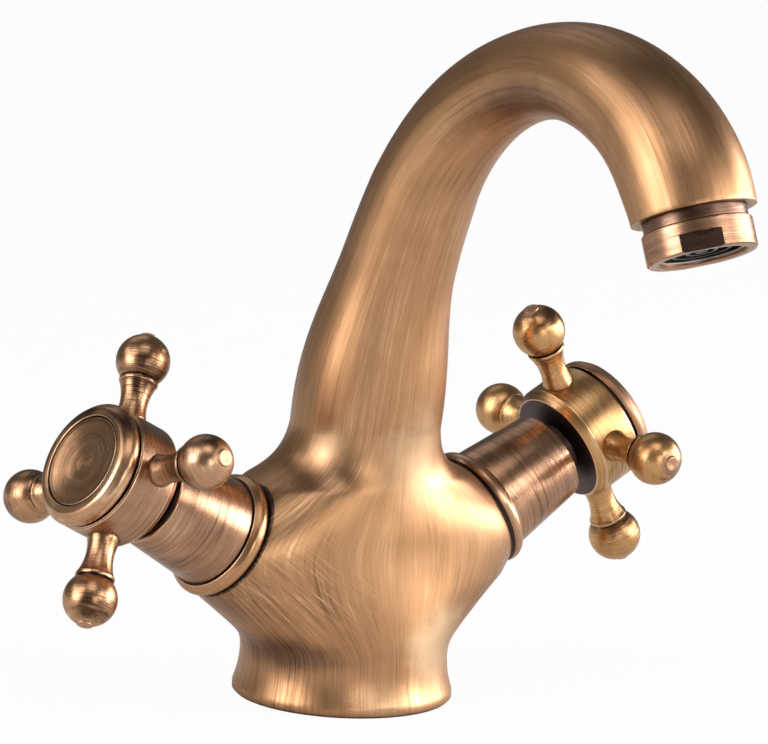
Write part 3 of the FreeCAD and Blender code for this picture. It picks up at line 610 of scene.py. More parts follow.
# %% [markdown]
# The brush crossed its own lines below and above the left arm, and the scratches slant there. A second
# stretched noise, cut so that only its peaks are left, makes thin pale lines, and its lowest places make
# dark ones. Modelled scratches would cost thousands of faces.

# %% Scratches at a slant
slants = (((-26, -15, 27), (26, 20, 16), 48), ((-27, -12, 45), (13, 14, 9), -56))
scratch_stretch = (2.8, 0.25, 0.03)


def scratched(tree, grain, colour, height, shades):
    """Lays the scratches over the colour and adds them to the height that the bump reads."""
    for middle, reach, turn in slants:
        there = cloud(tree, grain, middle, reach, 1.0)
        slant = mapped(tree, grain, (1.0, 1.0, 1.0), (0, math.radians(turn), 0))
        thin = noise(tree, mapped(tree, slant, scratch_stretch), 1.0, 5.0, 0.7)
        pale = maths(tree, "MULTIPLY", spread(tree, thin, 0.56, 0.62, 0.0, 0.9), there)
        dark = maths(tree, "MULTIPLY", spread(tree, thin, 0.46, 0.37, 0.0, 0.75), there)
        colour = mix_colour(tree, dark, colour, (*shades[0], 1))
        colour = mix_colour(tree, pale, colour, (*shades[2], 1))
        height = maths(tree, "ADD", height, maths(tree, "MULTIPLY", thin, there))
    return colour, height


def casting_light_and_scratches(tree, grain, fine, colour, shades):
    colour = painted_light_clouds(tree, grain, fine, colour)
    colour = arm_end_shade_line(tree, grain, colour)
    return scratched(tree, grain, colour, fine, shades)


# %% [markdown]
# ## Tones of the brass
# The pieces were bathed and brushed one by one, so they differ in tone. The casting and the left collar
# ring are golden, the right handle is yellow, and the right collar ring pinkish. The sleeves, the left hub
# and the aerator are a pinkish brown. The left spokes, the left index ring and both discs are a warmer
# brown, and the right index ring is dull. Worn edges are almost bare. A tone is three linear colours.

# %% Tones: dark, middle and light
golden = ((0.235, 0.120, 0.058), (0.50, 0.266, 0.128), (0.77, 0.455, 0.245))
pinkish = ((0.18, 0.095, 0.054), (0.52, 0.290, 0.165), (0.86, 0.56, 0.36))
yellow = ((0.17, 0.086, 0.036), (0.61, 0.335, 0.140), (0.90, 0.57, 0.28))
warm_brown = ((0.10, 0.050, 0.028), (0.54, 0.295, 0.155), (0.94, 0.62, 0.38))
pink_brown = ((0.13, 0.068, 0.042), (0.42, 0.230, 0.135), (0.80, 0.51, 0.33))
bare = ((0.50, 0.30, 0.17), (0.78, 0.50, 0.30), (0.94, 0.70, 0.48))
# The bath's dark, also used as painted shade in gaps and under pieces.
bathed = ((0.045, 0.028, 0.028), (0.090, 0.054, 0.050), (0.15, 0.092, 0.078))

# %% Finishes of the body
cast_brass = antique_brass("cast_brass", golden, rings=None, roughness=(0.27, 0.46), marks=casting_light_and_scratches,
                           corner=0.7, corner_reach=2.5)
ring_brass = {"left": antique_brass("left_ring_brass", golden),
              "right": antique_brass("right_ring_brass", pinkish)}
sleeve_brass = antique_brass("sleeve_brass", pink_brown, rings=(5.5, 1.2), roughness=(0.2, 0.34),
                             blotch=0.6, depth=0.28)
worn_brass = antique_brass("worn_edge_brass", bare, roughness=(0.18, 0.3), blotch=0.1, corner=0.25)
bath_and_shade_brass = antique_brass("bath_dark_and_painted_shade_brass", bathed, roughness=(0.35, 0.5))

# %% Finishes of the handles
deep_corner_shade = {"corner": 0.8, "corner_reach": 2.4}
near_spoke_brass = antique_brass("near_spoke_brass", pinkish, blotch=0.9, **deep_corner_shade)
left_hub_brass = antique_brass("left_hub_brass", pink_brown, blotch=0.8, **deep_corner_shade)
left_spoke_brass = antique_brass("left_spoke_brass", warm_brown, rings=(4.6, 0.8), roughness=(0.2, 0.34),
                                 blotch=1.0, **deep_corner_shade)
right_brass = antique_brass("right_handle_brass", yellow, roughness=(0.22, 0.38), blotch=0.9,
                            **deep_corner_shade)
disc_brass = antique_brass("spun_disc_brass", warm_brown, rings=(2.6, 0.25), roughness=(0.16, 0.3),
                           depth=0.9)
spoke_end_brass = antique_brass("spoke_end_brass", pinkish, roughness=(0.38, 0.48))
dull_ring_brass = antique_brass("dull_ring_brass", pink_brown, rings=(4.6, 1.6), roughness=(0.34, 0.48),
                                blotch=0.5)
hub_brass = {"left": left_hub_brass, "right": right_brass}
spoke_brass = {"left": left_spoke_brass, "right": right_brass}
nub_brass = {"left": spoke_end_brass, "right": dull_ring_brass}
index_brass = {"left": left_spoke_brass, "right": dull_ring_brass}
print("finishes made:", len(bpy.data.materials))

# %% [markdown]
# ## Casting: the skin
# A station is a matrix that carries a circle of radius 1 to its place, turn and two half widths. Over the
# first round stations the ovals' law fades into the spout's, so that no ridge shows where they meet.

# %% Stations of the skin
level_step = 0.6
spout_steps = 130
fade_steps = 12


def station(centre, wide, deep, turn):
    """Carries a circle of radius 1 to a station of the skin."""
    size = Matrix.Diagonal((wide, deep, 1, 1))
    return Matrix.Translation(centre) @ Matrix.Rotation(math.radians(turn), 4, "X") @ size


def level_station(height):
    """A level oval, which leans towards the spout as it climbs from the arms to the neck."""
    climb = ease((height - arm_z) / (neck_root_height - arm_z))
    above = max(height - spout_start_height, 0)
    bend = bends[0][0] - math.sqrt(bends[0][0] ** 2 - above ** 2)
    centre = Vector((0, -neck_lean * climb - bend, height))
    return station(centre, half_width(height), half_depth(height), 0)


level_count = round((neck_root_height - foot_height) / level_step)
heights = [foot_height + k * (neck_root_height - foot_height) / level_count for k in range(level_count + 1)]
stations = [(level_station(h), h) for h in heights]
for k in range(1, spout_steps + 1):
    turn = neck_top_turn + (mouth_turn - neck_top_turn) * k / spout_steps
    fade = ease(k / fade_steps)
    radius = spout_radius(turn) * fade + neck_root_radius * (1 - fade)
    stations.append((station(spout_point(turn)[0], radius, radius, turn), skin_length(turn)))
print("stations:", len(stations), "length of the skin (mm):", round(stations[-1][1], 1))

# %% [markdown]
# Extrude copies the ring of edges and leaves faces between, and a transform carries the copy to the next
# station. The casting keeps two measures as it grows. Grain is where a point lies beside the centreline,
# for the marks. Brush is the way round on a drum of one radius, and the way along it, so that brush lines
# stay long streaks even where the shoulder lies almost flat.

# %% Extrude the skin from station to station
brush_radius = 14.0
ring_segments = 128


def carry_ring(bm, ring, before, after, grain, brush, length):
    """Extrudes a ring of edges and carries it from one station to the next."""
    made = bmesh.ops.extrude_edge_only(bm, edges=ring)["geom"]
    verts = [g for g in made if isinstance(g, bmesh.types.BMVert)]
    bmesh.ops.transform(bm, matrix=after @ before.inverted(), verts=verts)
    size = after.to_scale()
    for v in verts:
        local = after.inverted() @ v.co
        v[grain] = (local.x * size.x, local.y * size.y, length)
        v[brush] = (local.x * brush_radius, local.y * brush_radius, length)
    return [g for g in made if isinstance(g, bmesh.types.BMEdge) and g.is_boundary]


casting = bmesh.new()
casting_grain = casting.verts.layers.float_vector.new("grain")
casting_brush = casting.verts.layers.float_vector.new("brush")
before, first_length = stations[0]
bmesh.ops.create_circle(casting, cap_ends=False, segments=ring_segments, radius=1.0, matrix=before)
for v in casting.verts:
    v[casting_grain] = v.co
    around = Vector((v.co.x, v.co.y, 0)).normalized()
    v[casting_brush] = around * brush_radius + Vector((0, 0, first_length))
foot_ring = list(casting.edges)
mouth_ring = foot_ring
for after, length in stations[1:]:
    mouth_ring = carry_ring(casting, mouth_ring, before, after, casting_grain, casting_brush, length)
    before = after
print("skin faces:", len(casting.faces))

# %% [markdown]
# ## Casting: mouth and foot
# The mouth is turned flat, bored for the aerator's thread, and left with a thin rim. The foot is turned
# down to the deck, in under the gasket's groove, and up into the recess for the hoses. The skin's open
# rings go on through rows of radius and height. A boolean would do too, but it leaves uneven faces.

# %% Mouth and foot
rim_width = 0.8
mouth_thread_radius = 10.45
mouth_thread_depth = 9.0
mouth_step_radius = 8.4
spout_bore_radius = 6.8
spout_bore_start = 11.0
spout_bore_shown = 16.0
gasket_inner_radius = 20.6
gasket_outer_radius = 23.2
gasket_thickness = 1.8
recess_radius = 19.0
recess_depth = 8.0


def carry_round(bm, ring, place, rows):
    """Extrudes a ring through rows of (radius, height) about the axis of a place."""
    back = place.inverted()
    for radius, height in rows:
        made = bmesh.ops.extrude_edge_only(bm, edges=ring)["geom"]
        for v in (g for g in made if isinstance(g, bmesh.types.BMVert)):
            local = back @ v.co
            scale = radius / max(math.hypot(local.x, local.y), 1e-6)
            v.co = place @ Vector((local.x * scale, local.y * scale, height))
        ring = [g for g in made if isinstance(g, bmesh.types.BMEdge) and g.is_boundary]
    return ring


mouth_rows = ((mouth_radius - rim_width, 0), (mouth_thread_radius, 0),
              (mouth_thread_radius, -mouth_thread_depth), (mouth_step_radius, -mouth_thread_depth),
              (spout_bore_radius, -spout_bore_start), (spout_bore_radius, -spout_bore_shown))
foot_rows = ((foot_radius, foot_rounding), (foot_radius - foot_rounding, 0), (gasket_outer_radius, 0),
             (gasket_outer_radius, gasket_thickness), (gasket_inner_radius, gasket_thickness),
             (gasket_inner_radius, 0), (recess_radius, 0), (recess_radius, recess_depth))
mouth_ring = carry_round(casting, mouth_ring, mouth_place, mouth_rows)
bmesh.ops.holes_fill(casting, edges=mouth_ring, sides=0)
foot_ring = carry_round(casting, foot_ring, Matrix.Identity(4), foot_rows)
print("with mouth and foot:", len(casting.faces))

# %% [markdown]
# In the recess's roof are two tapped inlets for the hoses, and a hole for the stud. Their circles and the
# recess's ring are filled together with triangles, which serve here, since the roof is flat and out of
# sight. Each circle then goes on up as a blind hole.

# %% Roof of the recess, with the two inlets and the stud's socket
inlet_offset = 8.5
inlet_radius = 4.5
stud_offset = 13.0
stud_radius = 3.4
socket_depth = 12.0
holes = ((-inlet_offset, 0, inlet_radius), (inlet_offset, 0, inlet_radius), (0, stud_offset, stud_radius))
hole_rings = []
for x, y, radius in holes:
    circle = bmesh.ops.create_circle(casting, cap_ends=False, segments=48, radius=radius,
                                     matrix=Matrix.Translation((x, y, recess_depth)))
    hole_rings.append(list({e for v in circle["verts"] for e in v.link_edges}))
bmesh.ops.triangle_fill(casting, use_beauty=True, use_dissolve=False,
                        edges=foot_ring + [e for ring in hole_rings for e in ring])
for (x, y, radius), ring in zip(holes, hole_rings):
    ring = [e for e in ring if e.is_valid]
    hole_rows = ((radius, recess_depth + socket_depth),)
    top = carry_round(casting, ring, Matrix.Translation((x, y, 0)), hole_rows)
    bmesh.ops.holes_fill(casting, edges=top, sides=0)
print("with the recess:", len(casting.faces))

# %% [markdown]
# ## Casting: the arms' ends
# Each arm ends in a face turned flat, square to the arm. A plane cuts the skin there and drops what lies
# beyond. Only faces below the neck's root are cut, because the plane also passes through the spout. The
# open edge is led in to the bore for the valve, and last the sharp edges are softened.

# %% Cut the arms' ends and finish the casting
valve_bore_radius = 10.25
valve_bore_depth = 11.0
for side in sides.values():
    place = arm_place(side)
    axis = (place.to_3x3() @ Vector((0, 0, 1))).normalized()
    low_faces = [f for f in casting.faces if all(v.co.z < neck_root_height for v in f.verts)]
    low_edges = list({e for f in low_faces for e in f.edges})
    low_verts = list({v for f in low_faces for v in f.verts})
    cut = bmesh.ops.bisect_plane(casting, geom=low_verts + low_edges + low_faces, dist=1e-4,
                                 plane_co=place @ Vector((0, 0, arm_end)), plane_no=axis, clear_outer=True)
    rim = [g for g in cut["geom_cut"] if isinstance(g, bmesh.types.BMEdge) and g.is_boundary]
    bore_rows = ((valve_bore_radius, arm_end), (valve_bore_radius, arm_end - valve_bore_depth))
    rim = carry_round(casting, rim, place, bore_rows)
    bmesh.ops.holes_fill(casting, edges=rim, sides=0)
bmesh.ops.remove_doubles(casting, verts=casting.verts, dist=2e-3)
bmesh.ops.recalc_face_normals(casting, faces=casting.faces)
soften(casting, [e for e in sharp_edges(casting, 40) if e.calc_length() < 3.0], 0.16)
print("open edges left:", sum(e.is_boundary for e in casting.edges))
finish_piece(casting, "tap_casting", Matrix.Identity(4), "body", "body_casting",
             (cast_brass, worn_brass))

# %% [markdown]
# ## Collar rings and sleeves
# Each arm carries a beaded collar ring, and a tapered sleeve that hides the valve's hexagon. Both are plain
# lathe work. The ring's foot, against the casting, and the inner part of its end face are painted dark as
# shade, so the joint reads as a line.

# %% Outline of a collar ring
ring_bore_radius = 11.7
ring_foot_radius = 13.2
ring_bead_radius = 14.2
ring_face_radius = 12.9
ring_shoulder = 0.35
bead_start = (ring_foot_radius, arm_end + 0.4)
bead_top = (ring_bead_radius, (arm_end + ring_end) / 2)
bead_end = (ring_face_radius + ring_shoulder, ring_end - ring_shoulder)
ring_outline = [(ring_bore_radius, arm_end), (ring_foot_radius, arm_end), bead_start]
ring_outline += sweep(bead_start, bead_top, bead_end, 10)
ring_outline += [(ring_face_radius, ring_end), (ring_bore_radius, ring_end)]

# %% Outline of a sleeve
sleeve_foot_radius = 12.4
sleeve_top_radius = 10.6
sleeve_edge = 0.35
hexagon_room_radius = 11.2
hexagon_room_end = ring_end + 3.8
thread_radius = 9.05
thread_end = hexagon_room_end + 6.0
sleeve_bore_radius = 9.2
sleeve_outline = [
    (hexagon_room_radius, ring_end), (sleeve_foot_radius - sleeve_edge, ring_end),
    (sleeve_foot_radius, ring_end + sleeve_edge), (sleeve_top_radius, sleeve_end - sleeve_edge),
    (sleeve_top_radius - sleeve_edge, sleeve_end), (sleeve_bore_radius, sleeve_end),
    (sleeve_bore_radius, thread_end), (thread_radius, thread_end), (thread_radius, hexagon_room_end),
    (hexagon_room_radius, hexagon_room_end)]

# %% Make the rings and sleeves
for name, side in sides.items():
    collar = turned_mesh(ring_outline, 112)
    # Painted shade on the ring's foot and in the gap at its end face.
    mark(collar, bath_and_shade_finish, high=arm_end + 0.9)
    mark(collar, bath_and_shade_finish, low=ring_end - 0.2, inside=ring_face_radius - 0.1)
    finish_piece(collar, name + "_ring_turned", arm_place(side), "body",
                 name + "_collar_ring", (ring_brass[name], worn_brass, bath_and_shade_brass))
    sleeve = turned_mesh(sleeve_outline, 112, edge=0.1)
    finish_piece(sleeve, name + "_sleeve_turned", arm_place(side), "body",
                 name + "_bonnet_sleeve", (sleeve_brass, worn_brass))

# %% [markdown]
# ## Handle hubs
# The hub of each cross is a short drum with a bevelled back, a bore in its face for the index ring, and a
# boss that grips the valve's spindle. Its back and the rim of its face are painted dark: painted shade
# under the hub and in the gap round the index ring, with the bath's dark. Heights and distances pick those
# faces, which is quicker than choosing them one by one.

# %% Hubs
hub_back_radius = 12.75
hub_bevel_length = 1.9
hub_edge = 0.4
boss_radius = 6.2
boss_start = hub_start - 8.3
face_bore_radius = 11.0
face_bore_floor = hub_end - 3.2
screw_pocket_radius = 4.2
screw_seat = face_bore_floor - 2.4
hub_outline = [
    (0, boss_start), (boss_radius, boss_start), (boss_radius, hub_start), (hub_back_radius, hub_start),
    (hub_radius, hub_start + hub_bevel_length), (hub_radius, hub_end - hub_edge),
    (hub_radius - hub_edge, hub_end), (face_bore_radius, hub_end), (face_bore_radius, face_bore_floor),
    (screw_pocket_radius, face_bore_floor), (screw_pocket_radius, screw_seat), (0, screw_seat)]
for name, side in sides.items():
    hub = turned_mesh(hub_outline, 128, closed=False, edge=0.16)
    # Painted shade, with the bath's dark, on the hub's back and on the rim of its face.
    mark(hub, bath_and_shade_finish, high=hub_start + 0.01, inside=hub_back_radius - 0.2)
    mark(hub, bath_and_shade_finish, low=hub_end - 0.01, inside=hub_radius - hub_edge - 0.25)
    finish_piece(hub, name + "_hub_turned", arm_place(side), name + "_handle",
                 name + "_handle_hub", (hub_brass[name], worn_brass, bath_and_shade_brass))

# %% [markdown]
# ## Index rings and discs
# A domed ring screws into the hub's face and holds a plain, slightly dished disc. The dark line between
# them is a real gap, and its walls are painted dark as shade. Two arcs make the dome: a tight one at the
# side, and a flatter one over the top. The disc was faced on the lathe, so its marks are circles, and the
# light fans across them.

# %% Outline of an index ring
index_bore_radius = 8.6
spigot_radius = 10.95
spigot_start = hub_end - 2.6
index_neck_radius = 13.1
dome_width = 2.6
dome_start = hub_end + 0.7
dome_height = 3.7
dome_top = dome_start + dome_height
lip_radius = 10.5
lip_edge = 0.15
disc_seat = dome_top - 1.85
dome_foot = (hub_radius - 0.12 * dome_width, dome_start)
dome_side = (hub_radius, dome_start + 0.3 * dome_height)
dome_turn = (hub_radius - 0.35 * dome_width, dome_start + 0.75 * dome_height)
dome_shoulder = (hub_radius - 0.65 * dome_width, dome_top - lip_edge)
dome_crest = (hub_radius - dome_width, dome_top)
dome_outline = [
    (index_bore_radius, spigot_start), (spigot_radius, spigot_start), (spigot_radius, hub_end + 0.02),
    (index_neck_radius, hub_end + 0.02), (index_neck_radius, dome_start), dome_foot]
dome_outline += sweep(dome_foot, dome_side, dome_turn, 8)
dome_outline += sweep(dome_turn, dome_shoulder, dome_crest, 6)
dome_outline += [(lip_radius + lip_edge, dome_top), (lip_radius, dome_top - lip_edge),
                 (lip_radius, disc_seat), (index_bore_radius, disc_seat)]

# %% Outline of an index disc
disc_top = dome_top - 0.15
disc_bottom = disc_seat + 0.02
disc_radius = lip_radius - 0.25
dish_depth = 0.9
dish_edge = (disc_radius - lip_edge, disc_top)
dish_ball_radius = (dish_edge[0] ** 2 + dish_depth ** 2) / (2 * dish_depth)
dish_half = dish_edge[0] / 2
half_rise = dish_ball_radius - math.sqrt(dish_ball_radius ** 2 - dish_half ** 2)
dish_middle = (0, disc_top - dish_depth)
disc_outline = [(0, disc_bottom), (disc_radius, disc_bottom), (disc_radius, disc_top - lip_edge), dish_edge]
disc_outline += sweep(dish_edge, (dish_half, dish_middle[1] + half_rise), dish_middle, 12)

# %% Make the index rings and discs
for name, side in sides.items():
    index_ring = turned_mesh(dome_outline, 128, edge=0.07)
    # Painted shade: the ring's foot and the wall round the disc's seat are darkened.
    mark(index_ring, bath_and_shade_finish, high=dome_start + 0.02, inside=dome_foot[0] - 0.09)
    mark(index_ring, bath_and_shade_finish, low=disc_seat - 0.05, inside=lip_radius + 0.01)
    finish_piece(index_ring, name + "_index_ring_turned", arm_place(side), name + "_handle",
                 name + "_index_ring", (index_brass[name], worn_brass, bath_and_shade_brass))
    index_disc = turned_mesh(disc_outline, 112, closed=False, edge=0.05)
    # Painted shade on the disc's side, in the gap under the ring's lip.
    mark(index_disc, bath_and_shade_finish, high=disc_top - 0.1, outside=disc_radius - 0.05)
    finish_piece(index_disc, name + "_index_disc_turned", arm_place(side), name + "_handle",
                 name + "_index_disc", (disc_brass, worn_brass, bath_and_shade_brass))

# %% [markdown]
# ## Spokes
# Four turned spokes are screwed into each hub: a neck that narrows and flares to a thin rim, a groove, a
# ball, and the flat nub that the lathe's centre left. One outline serves all eight, and a matrix lays each
# one out. The left cross rests a little turned, as in the photograph, and its near spoke is pinker.

# %% Spokes
cross_turns = {"left": 20.6, "right": 0.8}
near_spoke = ("left", 3)
spoke_height = (hub_start + hub_end) / 2
shank_radius = 1.9
shank_length = 5.4
root_radius = 3.6
root_length = 0.7
spoke_root = hub_radius - 0.63
waist_narrow = 3.05
rim_radius = 4.3
rim_thickness = 0.75
groove_radius = 3.5
groove_width = 0.4
spoke_edge = 0.15
ball_radius = 5.95
ball_place = 28.0
ball_neck = rim_radius - 0.2
nub_radius = 1.8
nub_height = 0.45
nub_dimple = 0.3
groove_end = ball_place - math.sqrt(ball_radius ** 2 - ball_neck ** 2)
groove_start = groove_end - groove_width
rim_start = groove_start - rim_thickness
nub_base = ball_place + math.sqrt(ball_radius ** 2 - nub_radius ** 2)
nub_end = nub_base + nub_height
waist_place = spoke_root + 0.45 * (ball_place - spoke_root - ball_radius)
neck_start = (root_radius, spoke_root + root_length)
neck_end = (rim_radius - spoke_edge, rim_start)
spoke_outline = [(0, spoke_root - shank_length), (shank_radius, spoke_root - shank_length),
                 (shank_radius, spoke_root), (root_radius, spoke_root), neck_start]
spoke_outline += sweep(neck_start, (waist_narrow, waist_place), neck_end, 12)
spoke_outline += [(rim_radius, rim_start + spoke_edge), (rim_radius, groove_start),
                  (groove_radius, groove_start), (groove_radius, groove_end), (ball_neck, groove_end)]
spoke_outline += sweep(spoke_outline[-1], (ball_radius, ball_place), (nub_radius, nub_base), 26)
spoke_outline += [(nub_radius, nub_end - spoke_edge), (nub_radius - spoke_edge, nub_end),
                  (nub_radius / 2, nub_end), (0, nub_end - nub_dimple)]
for name, side in sides.items():
    for number in range(4):
        turn = math.radians(cross_turns[name] + 90 * number)
        lay = Matrix.Rotation(turn, 4, "Z") @ Matrix.Translation((0, 0, spoke_height))
        place = arm_place(side) @ lay @ Matrix.Rotation(math.radians(90), 4, "Y")
        spoke = turned_mesh(spoke_outline, 64, closed=False, edge=0.06)
        mark(spoke, bath_and_shade_finish, groove_start + 0.01, groove_end + 0.03, inside=groove_radius + 0.1)
        mark(spoke, nub_finish, low=nub_base - 0.27)
        main_brass = near_spoke_brass if (name, number) == near_spoke else spoke_brass[name]
        finish_piece(spoke, name + "_spoke_turned_" + str(number + 1), place, name + "_handle",
                     name + "_spoke_" + str(number + 1),
                     (main_brass, worn_brass, bath_and_shade_brass, nub_brass[name]))

# %% [markdown]
# ## Pieces shown from the frame
# The aerator and the pieces inside the arms keep the frame's shapes and get finishes of their own: machined
# brass, lapped ceramic, red fibre, black rubber and stainless steel. Their colour and roughness wander a
# little between two shades, since even a moulded surface is never quite even.

# %% Finishes of the hidden pieces
stuff_bump_height = 0.03


def plain_stuff(name, low, high, roughness, metallic=0.0, size=900.0, depth=0.15):
    """A finish that wanders between two shades. size is the noise's scale per metre."""
    material, tree, shader = new_material(name)
    where = add(tree, "ShaderNodeTexCoord").outputs["Object"]
    wander = noise(tree, where, size, 5.0, 0.65)
    colour = mix_colour(tree, spread(tree, wander, 0.35, 0.65, 0.0, 1.0), (*low, 1), (*high, 1))
    tree.links.new(colour, shader.inputs["Base Color"])
    tree.links.new(spread(tree, wander, 0.3, 0.7, roughness[0], roughness[1]), shader.inputs["Roughness"])
    shader.inputs["Metallic"].default_value = metallic
    sockets = {"Strength": depth, "Distance": stuff_bump_height * MM, "Height": wander}
    tree.links.new(add(tree, "ShaderNodeBump", sockets).outputs[0], shader.inputs["Normal"])
    return material


rubber = plain_stuff("black_rubber", (0.012, 0.012, 0.013), (0.03, 0.03, 0.031), (0.55, 0.75))
fibre = plain_stuff("red_fibre", (0.16, 0.035, 0.025), (0.27, 0.07, 0.045), (0.6, 0.8), size=2500.0)
ceramic = plain_stuff("lapped_ceramic", (0.74, 0.74, 0.70), (0.82, 0.82, 0.79), (0.12, 0.2), size=1500.0,
                      depth=0.03)
steel = plain_stuff("stainless_steel", (0.42, 0.42, 0.43), (0.60, 0.60, 0.61), (0.22, 0.38), metallic=1.0,
                    size=1800.0)
machined = {
    "left": antique_brass("machined_brass", bare, source=grain_of_frame(arm_place(-1)),
                          roughness=(0.27, 0.46), blotch=0.1),
    "right": antique_brass("machined_brass_right", bare, source=grain_of_frame(arm_place(1)),
                           roughness=(0.27, 0.46), blotch=0.1)}

# %% [markdown]
# The aerator's shell is painted dark as shade on its neck, under the spout's mouth, and on the two flats
# for a spanner. Its insert is dark, but the ends of its rings are plated and shine. Places are measured
# from the mouth, so the marks sit where the real edges are.

# %% Aerator finishes
flat_turn = math.radians(127)
flat_distance = 10.72
flat_start = 5.15
shell_radius = 11.6
shell_neck_end = 2.45
ring_ends = 7.9
plated_tint = (0.82, 0.81, 0.80)


def shell_shade(tree, grain, fine, colour, shades):
    x, y, height = add(tree, "ShaderNodeSeparateXYZ", {0: grain}).outputs
    out = maths(tree, "ADD", maths(tree, "MULTIPLY", x, math.cos(flat_turn)),
                maths(tree, "MULTIPLY", y, math.sin(flat_turn)))
    out = maths(tree, "ABSOLUTE", out)
    on_flat = spread(tree, out, flat_distance - 0.06, flat_distance - 0.02, 0.0, 1.0)
    inside = spread(tree, away_from_axis(tree, x, y), shell_radius - 0.04, shell_radius - 0.02, 1.0, 0.0)
    low = spread(tree, height, flat_start - 0.1, flat_start, 0.0, 1.0)
    flat = maths(tree, "MULTIPLY", maths(tree, "MULTIPLY", on_flat, inside), low)
    # Painted shade: the neck and the flats are darkened with the shade tint.
    neck = spread(tree, height, shell_neck_end, shell_neck_end - 0.3, 0.0, 0.75)
    dark = maths(tree, "MAXIMUM", maths(tree, "MULTIPLY", flat, 0.85), neck)
    return mix_colour(tree, dark, colour, (*painted_shade_tint, 1)), fine


def insert_marks(tree, grain, fine, colour, shades):
    height = add(tree, "ShaderNodeSeparateXYZ", {0: grain}).outputs[2]
    plated = spread(tree, height, ring_ends, ring_ends + 0.1, 0.0, 1.0)
    return mix_colour(tree, plated, colour, (*plated_tint, 1)), fine


aerator_brass = antique_brass("aerator_brass", pink_brown, source=grain_of_frame(mouth_place),
                              marks=shell_shade)
moulded = antique_brass("dark_insert", ((0.02, 0.019, 0.02), (0.035, 0.034, 0.035), (0.06, 0.058, 0.06)),
                        source=grain_of_frame(mouth_place), roughness=(0.27, 0.46), marks=insert_marks)

# %% Give the finishes out
stuff = {"base_gasket": rubber, "aerator_washer": rubber, "aerator_housing": aerator_brass,
         "aerator_insert": moulded, "aerator_screen": steel}
for name, barrel in machined.items():
    inner = {"flange_gasket": fibre, "cartridge_body": barrel, "seat_seal": rubber, "fixed_disc": ceramic,
             "moving_disc": ceramic, "slide_washer": fibre, "spindle": barrel, "spindle_o_rings": rubber,
             "stop_ring": barrel, "spindle_clip": steel, "handle_screw": steel}
    stuff.update({name + "_" + part: finish for part, finish in inner.items()})
for node, finish in stuff.items():
    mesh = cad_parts[node].data
    mesh.materials.clear()
    mesh.materials.append(finish)
print("finishes given to", len(stuff), "frame nodes")

# %% [markdown]
# ## Studio: the floor
# A product photograph on white stands on a pale floor. The camera sees this one almost as white as the
# background, while it lights the tap from below like a real floor. It lies a tenth of a millimetre low, so
# that it does not flicker against the gasket, which is level with the foot.

# %% Floor
floor_half_size = 6.0
floor_drop = 0.1 * MM
floor_whiteness = 0.96
floor_mesh = bmesh.new()
bmesh.ops.create_grid(floor_mesh, x_segments=1, y_segments=1, size=floor_half_size,
                      matrix=Matrix.Translation((0, 0, -floor_drop)))
floor_data = bpy.data.meshes.new("floor")
floor_mesh.to_mesh(floor_data)
floor_mesh.free()
floor = bpy.data.objects.new("floor", floor_data)
bpy.context.scene.collection.objects.link(floor)
floor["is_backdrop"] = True
floor_finish, tree, shader = new_material("pale_floor")
shader.inputs["Roughness"].default_value = 0.8
soft = noise(tree, add(tree, "ShaderNodeTexCoord").outputs["Object"], 3.0)
pale = mix_colour(tree, soft, (0.80, 0.80, 0.80, 1), (0.84, 0.84, 0.84, 1))
tree.links.new(pale, shader.inputs["Base Color"])
glow = add(tree, "ShaderNodeEmission", {"Color": (1, 1, 1, 1), "Strength": 1.0})
path = add(tree, "ShaderNodeLightPath")
seen = maths(tree, "MULTIPLY", path.outputs["Is Camera Ray"], floor_whiteness)
blend = add(tree, "ShaderNodeMixShader", {0: seen, 1: shader.outputs[0], 2: glow.outputs[0]})
tree.links.new(blend.outputs[0], tree.nodes["Material Output"].inputs["Surface"])
floor_data.materials.append(floor_finish)
print("floor finish:", floor_finish.name)

# %% [markdown]
# ## Studio: the room
# Polished metal shows its surroundings, so the room between the lights is dim, and gives it dark as well as
# bright to show. It is lighter below than above, as over a pale floor. The camera alone sees plain white.

# %% Room
room_low = (0.165, 0.162, 0.158, 1)
room_high = (0.095, 0.095, 0.095, 1)
room = bpy.data.worlds.new("studio_room")
bpy.context.scene.world = room
room.use_nodes = True
tree = room.node_tree
way = add(tree, "ShaderNodeTexCoord").outputs["Generated"]
up = add(tree, "ShaderNodeSeparateXYZ", {0: way}).outputs[2]
shade = add(tree, "ShaderNodeValToRGB", {0: spread(tree, up, -1.0, 1.0, 0.0, 1.0)})
for stop, place, colour in zip(shade.color_ramp.elements, (0.45, 0.9), (room_low, room_high)):
    stop.position = place
    stop.color = colour
path = add(tree, "ShaderNodeLightPath")
shown = mix_colour(tree, path.outputs["Is Camera Ray"], shade.outputs[0], (1, 1, 1, 1))
tree.links.new(shown, tree.nodes["Background"].inputs["Color"])

# %% [markdown]
# ## Studio: the lights
# In the photograph soft light comes from both sides, more of it from the right, and weaker light from the
# front, above and behind opens the dark edges. Wide lights give brushed brass its long soft highlights,
# where a small lamp would make hard sparks. Bearing 0 is in front of the spout, and 90 is to the right.

# %% Lights
light_distance = 1.2
tap_middle = Vector((0, -0.03, 0.08))
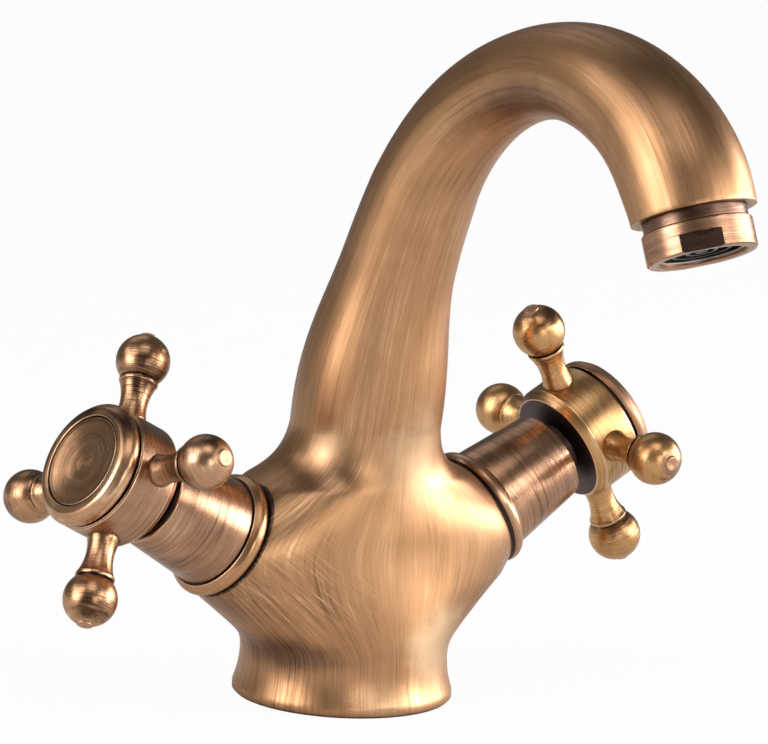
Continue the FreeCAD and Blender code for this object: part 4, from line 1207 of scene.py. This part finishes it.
# Name, bearing and rise in degrees, size in metres, and power in watts.
softboxes = (
    ("right", 53, 11, (0.65, 0.5), 9.6), ("right_rear", 84, 9, (0.4, 0.6), 6.0),
    ("right_front", 18, 24, (0.5, 0.4), 3.2), ("front", -15, 9, (0.4, 0.4), 1.9),
    ("left", -98, 14, (0.7, 0.55), 7.4), ("left_high", -92, 42, (0.6, 0.5), 2.6),
    ("rear_left", -128, 32, (0.4, 0.3), 1.0), ("top", -30, 66, (0.7, 0.6), 2.4),
    ("rear_high", 165, 46, (0.8, 0.6), 0.75))
for name, bearing, rise, size, power in softboxes:
    around, upward = math.radians(bearing), math.radians(rise)
    level = math.cos(upward)
    out = Vector((math.sin(around) * level, -math.cos(around) * level, math.sin(upward)))
    light = bpy.data.lights.new(name + "_softbox", "AREA")
    light.shape = "RECTANGLE"
    light.size, light.size_y = size
    light.energy = power
    lamp = bpy.data.objects.new(name + "_softbox", light)
    lamp.location = tap_middle + out * light_distance
    lamp.rotation_euler = (-out).to_track_quat("-Z", "Y").to_euler()
    bpy.context.scene.collection.objects.link(lamp)
print("softboxes:", len(softboxes))

# %% [markdown]
# ## Studio: the camera
# The camera stands 1.3 metres away with a long lens, as for a product photograph. Its place and turn were
# fitted to the outline of the tap in the photograph. The fit gives the lens in pixels of a picture 768
# wide, which is turned into millimetres here.

# %% Camera
camera_place = Vector((-0.764406, -1.018467, 0.318845))
looking = Vector((0.592941, 0.782624, -0.189526)).normalized()
rightward = Vector((0.802003, -0.595064, 0.051866))
upward = rightward.cross(looking).normalized()
rightward = looking.cross(upward)
lens_in_pixels = 5874.97
picture_width = 768
sensor_width = 36.0
camera_data = bpy.data.cameras.new("photo_camera")
camera_data.sensor_width = sensor_width
camera_data.lens = sensor_width * lens_in_pixels / picture_width
camera_data.clip_start = 0.05
camera_data.clip_end = 20.0
camera = bpy.data.objects.new("photo_camera", camera_data)
turn = Matrix((rightward, upward, -looking)).transposed().to_4x4()
camera.matrix_world = Matrix.Translation(camera_place) @ turn
bpy.context.scene.collection.objects.link(camera)
bpy.context.scene.camera = camera
bpy.context.scene.view_settings.view_transform = "Standard"
print("lens (mm):", round(camera_data.lens, 1))

# %% [markdown]
# ## Sizes printed
# Last, the box round the finished tap is printed beside the frame's own box. The new meshes should fill the
# same box as the pieces that they stand for.

# %% Print the sizes
shown_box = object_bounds()
for title, box in (("frame box", cad_box), ("shown box", shown_box)):
    print(title, [[round(v, 4) for v in corner] for corner in box])
